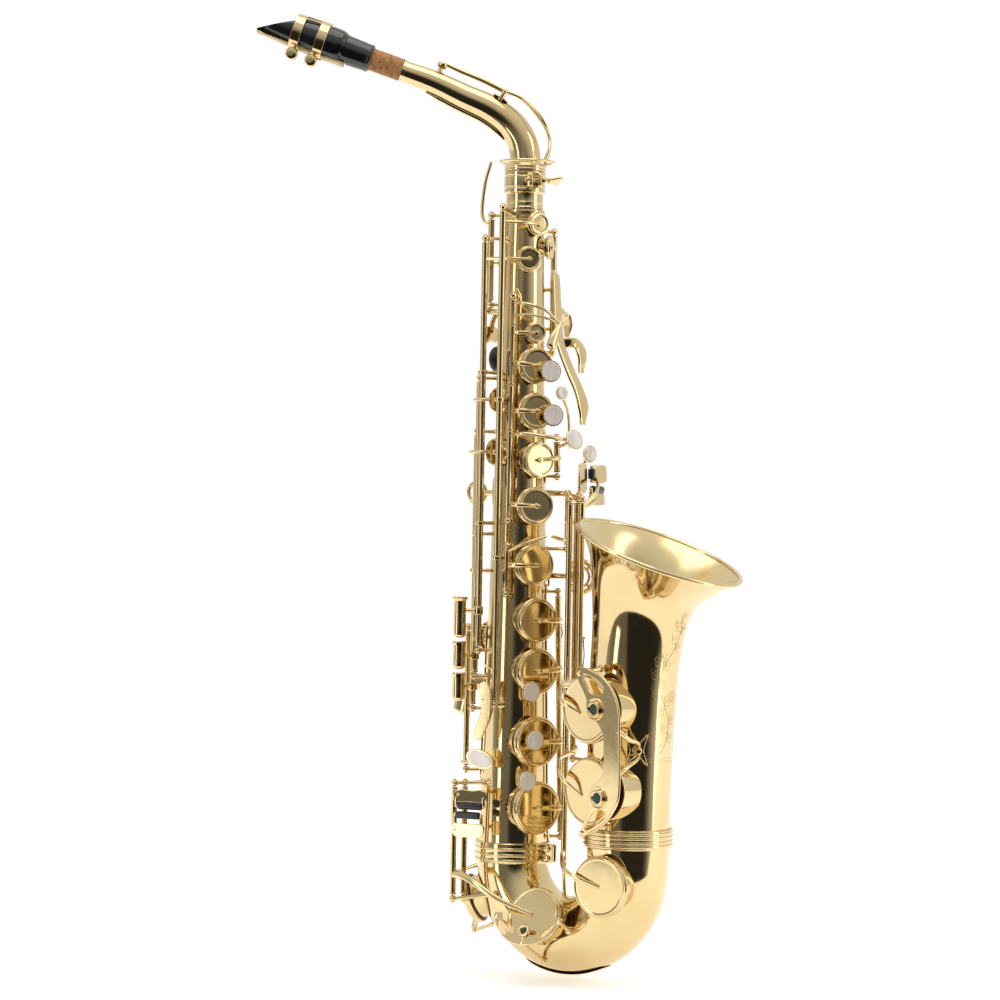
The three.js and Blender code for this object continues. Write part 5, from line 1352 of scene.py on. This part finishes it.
def left_table():
    lever = Key("gsharp_lever", LEVER_LINE, 224.8, 241.5)
    lever.arm([LEVER_LINE(237), V(36, 22, 245), V(34, 32, 272), V(36, 33.4, 290)], 1.6)
    lever.pearl(V(37, 34, 292), polar(1, -15), 6.5)
    lever.arm([LEVER_LINE(228), V(40.5, -4, 229), V(39, -14, 231)], 1.5)
    lever.done()
    lever = Key("csharp_lever", LEVER_LINE, 242, 259.2)
    lever.arm([LEVER_LINE(256.5), V(42, 14, 262), V(46, 14.5, 270)], 1.6)
    shape = smooth_loop([(-6.5, -9), (-6, 9), (-2, 11), (4.5, 10.5), (6.5, 7), (6.5, -8), (3, -11),
                         (-3, -11)])
    lever.metal.slab(shape, 2.2, on_table(13, 274), TABLE_WIDE, UP, 0.7)
    lever.metal.bar(LEVER_LINE(250), V(41.2, 4.6, 250), 1.4)
    lever.done()
    b_pin = (on_table(24.5, 273.5), on_table(24.5, 281))
    bb_pin = (on_table(27, 266), on_table(43, 266))
    low_b, low_bb, low_cs = SEATS["low_b"], SEATS["low_bb"], SEATS["low_csharp"]
    key = Key("low_b_key", B_LINE, 121.8, 256.2).cup(low_b)
    key.arm([B_LINE(126), V(62, -30, 124), V(76, -47, 115), low_b.over(6.5, 6, -3)], 3.0, 0.42,
            low_b.normal, 0.45)
    key.metal.bar(B_LINE(126), V(57.5, -10, 126), 2.3, r_end=2.0)
    key.arm([B_LINE(253), V(57, 14, 264), V(42.6, 33, 276)], 1.7)
    shape = smooth_loop([(-10, -4), (-9.5, 5), (-3, 6.5), (8, 6.5), (10, 2), (9.5, -5), (4, -6.5),
                         (-6, -6.5)])
    key.metal.slab(shape, 2.2, on_table(38, 277), TABLE_WIDE, UP, 0.7)
    roller_pin(key, *b_pin, TABLE_WIDE * 5)
    key.spring(130, 158, polar(1, 40)).done()
    roller("low_b_roller", "low_b_key", *b_pin)
    key = Key("low_bb_key", BB_LINE, 72.8, 256.2).cup(low_bb)
    key.arm([BB_LINE(77), V(57, -3, 77), V(62, -30, 72), V(78, -47, 61), low_bb.over(6.5, 6, -3)], 3.0, 0.42,
            low_bb.normal, 0.45)
    key.arm([BB_LINE(251), V(49, 16, 254), V(43, 33, 258)], 1.7)
    key.metal.slab(rounded_rect(24, 9, 3.2), 2.2, on_table(35, 258.5), TABLE_WIDE, UP, 0.7)
    roller_pin(key, *bb_pin, V(0, 0, -6))
    key.spring(82, 108, polar(1, 120)).done()
    roller("low_bb_roller", "low_bb_key", *bb_pin)
    key = Key("low_csharp_key", CSHARP_LINE, -3.7, 256.2).cup(low_cs)
    top = low_cs.centre + low_cs.normal * 6.5
    key.arm([CSHARP_LINE(2), V(58, -24, 2), V(74, -42, -6), top], 3.0, 0.45, low_cs.normal, 0.45)
    key.metal.bar(CSHARP_LINE(250), V(43.4, 2, 250), 1.4)
    key.done()


RH_WIDE = V(0.97, 0.24, 0).normalized()


def on_rh(across, z):
    return V(-9.5, -43, z) + RH_WIDE * across


def right_table():
    low_eb, low_c = SEATS["low_eb"], SEATS["low_c"]
    eb_pin = (on_rh(-9, 34.6), on_rh(9, 34.6))
    c_pin = (on_rh(-9, 28), on_rh(9, 28))
    key = Key("low_eb_key", LOW_EB_LINE, -31.7, 47.2).cup(low_eb)
    top = low_eb.centre + low_eb.normal * 6.4
    key.arm([LOW_EB_LINE(-27), V(-27, -22, -31), top], 1.8)
    key.metal.bar(LOW_EB_LINE(43), on_rh(-9, 43), 1.7)
    shape = smooth_loop([(-12, -4), (-12.4, 2), (-8, 4.6), (0, 4.2), (8, 4.8), (12.4, 3), (12, -4),
                         (0, -4.6)])
    key.metal.slab(shape, 2.2, on_rh(0, 42), RH_WIDE, UP, 0.7)
    roller_pin(key, *eb_pin, V(0, 0, 6))
    key.done()
    roller("low_eb_roller", "low_eb_key", *eb_pin)
    key = Key("low_c_key", LOW_C_LINE, -31.7, 47.2).cup(low_c)
    top = low_c.centre + low_c.normal * 6.5
    key.arm([LOW_C_LINE(-16), V(-8, -47, -16), V(20, -45, -29), top], 2.9, 0.5, low_c.normal, 0.5)
    key.metal.bar(LOW_C_LINE(17), on_rh(-10, 17), 1.7)
    shape = smooth_loop([(-12.4, 4), (-12.4, -2), (-9, -5), (0, -5), (9, -5), (12.4, -2), (12.4, 4), (0, 5)])
    key.metal.slab(shape, 2.2, on_rh(0, 17), RH_WIDE, UP, 0.7)
    roller_pin(key, *c_pin, V(0, 0, -6))
    key.done()
    roller("low_c_roller", "low_c_key", *c_pin)


# ------------------------------------------------------------------ key guards
def boss(piece, felts, centre, normal, r, length):
    """A threaded sleeve on a guard with the adjustable felt in it."""
    piece.lathe([(r - 2.4, -length / 2), (r - 0.3, -length / 2), (r, -length / 2 + 0.4),
                 (r, length / 2 - 0.5),
                 (r - 0.5, length / 2), (r - 1.6, length / 2), (r - 2.4, length / 2 - 0.8)], centre, normal,
                48,
                r=0.2, loop=True)
    felts.lathe([(0, -length / 2 - 0.9), (r - 2.5, -length / 2 - 0.9), (r - 2.5, length / 2 - 1.2),
                 (r - 3.4, length / 2 - 0.7), (0, length / 2 - 0.9)], centre, normal, 32, r=0.3)


def bow_foot(p, normal):
    """Where a post that stands under p along the normal meets the bow."""
    foot, gap = p.copy(), 1
    while gap > 0:
        foot -= normal * 0.5
        angle = math.degrees(math.atan2(-(foot.z + BOW_DROP), -(foot.x - BOW_R)))
        gap = (foot - on_bow(angle)[0]).length - lerp(*BOW_RADII, 0.1 + 0.8 * angle / 180) - 1.0
    return foot


def crescent(name, node, seat, height, middle, half):
    """A pierced crescent guard round a cup's edge, with three legs and a bumper in its sleeve."""
    right = -(seat.normal.cross(UP).normalized())
    up = seat.normal.cross(right)
    r_in, r_out = seat.cup, seat.cup + 6.5
    def at(r, angle, lift):
        return seat.centre + seat.normal * lift + right * (r * cosd(angle)) + up * (r * sind(angle))
    def round_at(k):
        return middle - half + 2 * half * k / 48
    outline = [(r_out * cosd(round_at(k)), r_out * sind(round_at(k))) for k in range(49)]
    inner = []
    for k in range(48, -1, -1):
        a = round_at(k)
        share = abs(k / 24 - 1)
        r = r_in - 3.2 * max(0, 1 - 2.6 * share) + 0.6
        inner.append((r * cosd(a), r * sind(a)))
    holes = []
    for share in (-0.62, 0.62):
        a = middle + share * half
        curve = []
        for k in range(28):
            t = 360 * k / 28
            rr, aa = (r_in + r_out) / 2 + 0.3 + 1.9 * sind(t), a + 15 * cosd(t)
            curve.append((rr * cosd(aa), rr * sind(aa)))
        holes.append(curve)
    guard, felts = Piece(), Piece()
    guard.slab(outline + inner, 1.8, at(0, 0, height), right, up, 0.5, holes)
    for share in (-0.92, 0, 0.92):
        top = at(r_out - 1.5, middle + share * half, height)
        foot = bow_foot(top, seat.normal)
        h = (top - foot).length
        guard.lathe([(0, 0), (3.0, 0), (3.0, 0.8), (1.7, 1.8), (1.4, h * 0.5), (1.4, h - 1.4),
                     (2.1, h - 0.6), (2.1, h + 1),
                     (1.5, h + 1.7), (0, h + 1.8)], foot, top - foot, 20, r=0.2)
    boss(guard, felts, at(r_in - 4, middle, height + 0.9), seat.normal, 4.6, 4.2)
    guard.bar(at(r_out - 2, middle, height), at(r_in - 1, middle, height), 2.2, flat=0.5, up=seat.normal)
    guard.brass(name, node)
    felts.build(name + "_felt", GREEN_FELT, "body")


def bell_guard():
    normal = SEATS["low_b"].normal
    right = -(normal.cross(UP).normalized())
    origin = V(105, -54.7, 0)
    def at(x, z, out=0.0):
        return origin + right * x + normal * out + UP * z
    outer = [(-19, 140), (-8, 139.6), (2.5, 136), (10, 130.8), (15.4, 124.5), (19.4, 116), (21, 107),
             (21.6, 82), (22, 57),
             (20.6, 48), (16.4, 40.5), (11, 34), (4, 28.6), (-4.6, 24), (-14, 20.4)]
    inner = [(-14.4, 22), (-11.6, 28), (-9, 34), (-6, 41), (-5.2, 50), (-3, 57), (2, 61), (6.2, 66),
             (7.4, 74), (7.4, 86),
             (5.6, 95), (0.5, 102), (-6.5, 105), (-9.6, 111), (-9.6, 118), (-13, 124), (-17.6, 131.5)]
    loop = smooth_loop(outer + inner, 5)
    holes = [smooth_loop([(-13, 135.4), (-3, 133.4), (6, 127.4), (5, 122.6), (-3, 121.8), (-9.5, 127.5)]),
             smooth_loop([(-8.6, 26.4), (1.3, 30.4), (10, 37.6), (8, 40.8), (0, 39.8), (-5.4, 34.4)])]
    guard, felts = Piece(), Piece()
    guard.slab(loop, 1.8, origin, right, UP, 0.5, holes)
    # A raised bead along the forward edge.
    guard.sweep(spline([at(x, z, 0.9) for x, z in outer[1:-1]], 8), 0.9, 12)
    for x, z in ((-1.1, 111.6), (3.6, 49.8)):
        guard.lathe([(4.4, -1.1), (7.9, -1.1), (8.2, -0.4), (8.2, 0.8), (7.6, 1.5), (6.2, 1.3), (4.4, 1.3)],
                    at(x, z, 0.2),
                    normal, 56, r=0.25, loop=True)
        boss(guard, felts, at(x, z, 1.2), normal, 5.9, 5.4)
    for top, foot in ((at(-16, 136), V(95, -33.8, 139)), (at(-11.5, 24.4), V(89, -29.6, 27.2))):
        h = (top - foot).length
        guard.lathe([(0, 0), (2.8, 0), (2.6, 1), (1.7, 2), (1.4, h * 0.5), (1.4, h - 1.5), (2.1, h - 0.5),
                     (2.1, h + 1.2),
                     (1.6, h + 1.8), (0, h + 1.9)], foot, top - foot, 24, r=0.3)
    foot_way = polar(1, -50)
    foot_at = V(LEG_SPACING + 0.3, 0, 82) + foot_way * 33
    for z in (97, 67):
        guard.arm([at(20, z, -0.5), at(22, lerp(z, 82, 0.35), -8),
                   foot_at + foot_way * 6 + UP * (z - 82) * 0.3,
                   foot_at + foot_way * 1.5], 1.9, 0.8)
    guard.lathe([(0, 0), (3.8, 0), (3.4, 2), (2.6, 4), (2.6, 7.4), (1.8, 8.2), (0, 8.4)], foot_at, foot_way,
                32)
    foot_shape = smooth_loop([(-8, 11), (-4, 7), (0, 4), (4, 7), (8, 11), (6, 4), (5, 0), (6, -4), (8, -11),
                              (4, -7),
                              (0, -4), (-4, -7), (-8, -11), (-6, -4), (-5, 0), (-6, 4)])
    radius = 32
    def wrap(x, y, z):
        return (radius * math.sin(x / radius), y, z - radius * (1 - math.cos(x / radius)))
    guard.slab(foot_shape, 1.3, foot_at - foot_way * 0.4, polar(1, 40), UP, 0.35, bend=wrap)
    guard.brass("bell_guard", "bell_key_guard")
    felts.build("bell_guard_felts", GREEN_FELT, "body")


# ------------------------------------------------------------------ the whole, the room and the camera
for make in (body_tube, bow, bell, engraving, joint_rings, bell_brace, receiver, neck, neck_octave_key,
             mouthpiece,
             ligature, posts, upper_stack, lower_stack, stack_rods, palm_keys, side_keys, octave_keys,
             thumb_parts,
             left_table, right_table, bell_guard):
    make()
crescent("low_c_crescent", "low_c_guard", SEATS["low_c"], 17, -90, 78)
crescent("low_eb_crescent", "low_eb_guard", SEATS["low_eb"], 13.8, 180, 80)
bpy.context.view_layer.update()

CAMERA_AZIMUTH = 34
RIGHT = V(cosd(CAMERA_AZIMUTH), sind(CAMERA_AZIMUTH))
TOWARDS = V(sind(CAMERA_AZIMUTH), -cosd(CAMERA_AZIMUTH))
FLOOR_DROP = 90
FLOOR_SIZE = 12.0
FLOOR_FRONT = 0.4


def room():
    """A pale floor that ends a little in front of the object, out of the picture."""
    floor_z = (ORIGIN.z - FLOOR_DROP) * MM
    mesh = bpy.data.meshes.new("floor")
    corners = [(-FLOOR_SIZE, FLOOR_FRONT), (FLOOR_SIZE, FLOOR_FRONT), (FLOOR_SIZE, -FLOOR_SIZE),
               (-FLOOR_SIZE, -FLOOR_SIZE)]
    spots = [RIGHT * across + TOWARDS * towards for across, towards in corners]
    mesh.from_pydata([(spot.x, spot.y, floor_z) for spot in spots], [], [(3, 2, 1, 0)])
    floor = placed("floor", mesh)
    mat, s, noise, ramp, spread = graph("pale_floor")[:5]
    s.inputs["Specular IOR Level"].default_value = 0.1
    ramp(noise(3, 2), [(0.3, (0.93, 0.93, 0.93)), (0.7, (0.95, 0.95, 0.95))], s.inputs["Base Color"])
    spread(noise(20), 0.8, 0.9, s.inputs["Roughness"])
    s.inputs["Emission Color"].default_value = (1, 1, 1, 1)
    s.inputs["Emission Strength"].default_value = 0.4
    mesh.materials.append(mat)


def soft_box(name, at, target, size, power):
    light = bpy.data.lights.new(name, "AREA")
    light.shape = "RECTANGLE"
    light.size, light.size_y = size
    light.energy = power
    obj = placed(name, light)
    obj.location = at
    obj.rotation_euler = (target - at).to_track_quat("-Z", "Y").to_euler()


def lobe(tree, ray, azimuth, elevation, stops):
    """Brightness of the surroundings by the cosine of a ray's angle from one dark direction."""
    level = TOWARDS * cosd(azimuth) + RIGHT * sind(azimuth)
    dot = shader_node(tree, "VectorMath")
    dot.operation = "DOT_PRODUCT"
    dot.inputs[1].default_value = level * cosd(elevation) + UP * sind(elevation)
    tree.links.new(ray, dot.inputs[0])
    share = shader_node(tree, "MapRange", From_Min=-1)
    tree.links.new(dot.outputs["Value"], share.inputs["Value"])
    return color_ramp(tree, share.outputs["Result"],
                      [((cosine + 1) / 2, (v, v * 0.99, v * 0.965)) for cosine, v in stops])


def mixed(tree, factor, a, b, blend="MIX"):
    """The mix of two colours; each of the three is a socket or a constant."""
    mix = shader_node(tree, "Mix")
    mix.data_type = "RGBA"
    mix.blend_type = blend
    for socket, value in ((0, factor), (6, a), (7, b)):
        if isinstance(value, bpy.types.NodeSocket):
            tree.links.new(value, mix.inputs[socket])
        else:
            mix.inputs[socket].default_value = value
    return mix.outputs[2]


def studio():
    """Pale surroundings that turn olive and black low behind the camera, which itself sees white."""
    world = bpy.data.worlds.new("studio")
    bpy.context.scene.world = world
    world.use_nodes = True
    tree = world.node_tree
    ray = shader_node(tree, "TexCoord").outputs["Generated"]
    black = lobe(tree, ray, 11, -38, ((-1, 0.86), (0, 0.78), (0.4, 0.66), (0.6, 0.45), (0.7, 0.14),
                                      (0.765, 0.025),
                                      (1, 0.02)))
    olive = lobe(tree, ray, -34, -40, ((-1, 0.86), (0, 0.74), (0.36, 0.56), (0.58, 0.34), (0.7, 0.2),
                                       (0.85, 0.15),
                                       (1, 0.15)))
    seen = mixed(tree, 1, black, olive, "DARKEN")
    seen = mixed(tree, shader_node(tree, "LightPath").outputs["Is Camera Ray"], seen, (1, 1, 1, 1))
    tree.links.new(seen, tree.nodes["Background"].inputs["Color"])
    middle = V(0.06, 0, -0.02)
    for name, across, towards, up, size, power in (("left_box", -1.5, 1.1, 0.3, (0.35, 2.0), 5),
                                                   ("right_box", 1.7, 0.5, 0.3, (0.5, 2.2), 6),
                                                   ("top_box", 0, 0.3, 1.9, (1.4, 1.4), 9)):
        soft_box(name, middle + RIGHT * across + TOWARDS * towards + UP * up, middle, size, power)


CAMERA_DISTANCE = 2.2
CAMERA_HEIGHT = 257
CAMERA_ASIDE = 0.0141
CAMERA_ROLL = 1.03


def camera():
    """A level view from the player's right, a third of the way round to the bell, rolled by a degree."""
    target = (ORIGIN + UP * CAMERA_HEIGHT) * MM - RIGHT * CAMERA_ASIDE
    data = bpy.data.cameras.new("camera")
    data.lens = 107.7
    data.sensor_width = 36
    obj = placed("camera", data)
    up = UP * cosd(CAMERA_ROLL) - RIGHT * sind(CAMERA_ROLL)
    basis = Matrix((up.cross(TOWARDS), up, TOWARDS)).transposed().to_4x4()
    obj.matrix_world = Matrix.Translation(target + TOWARDS * CAMERA_DISTANCE) @ basis
    bpy.context.scene.camera = obj
    bpy.context.scene.view_settings.view_transform = "Standard"


room()
studio()
camera()
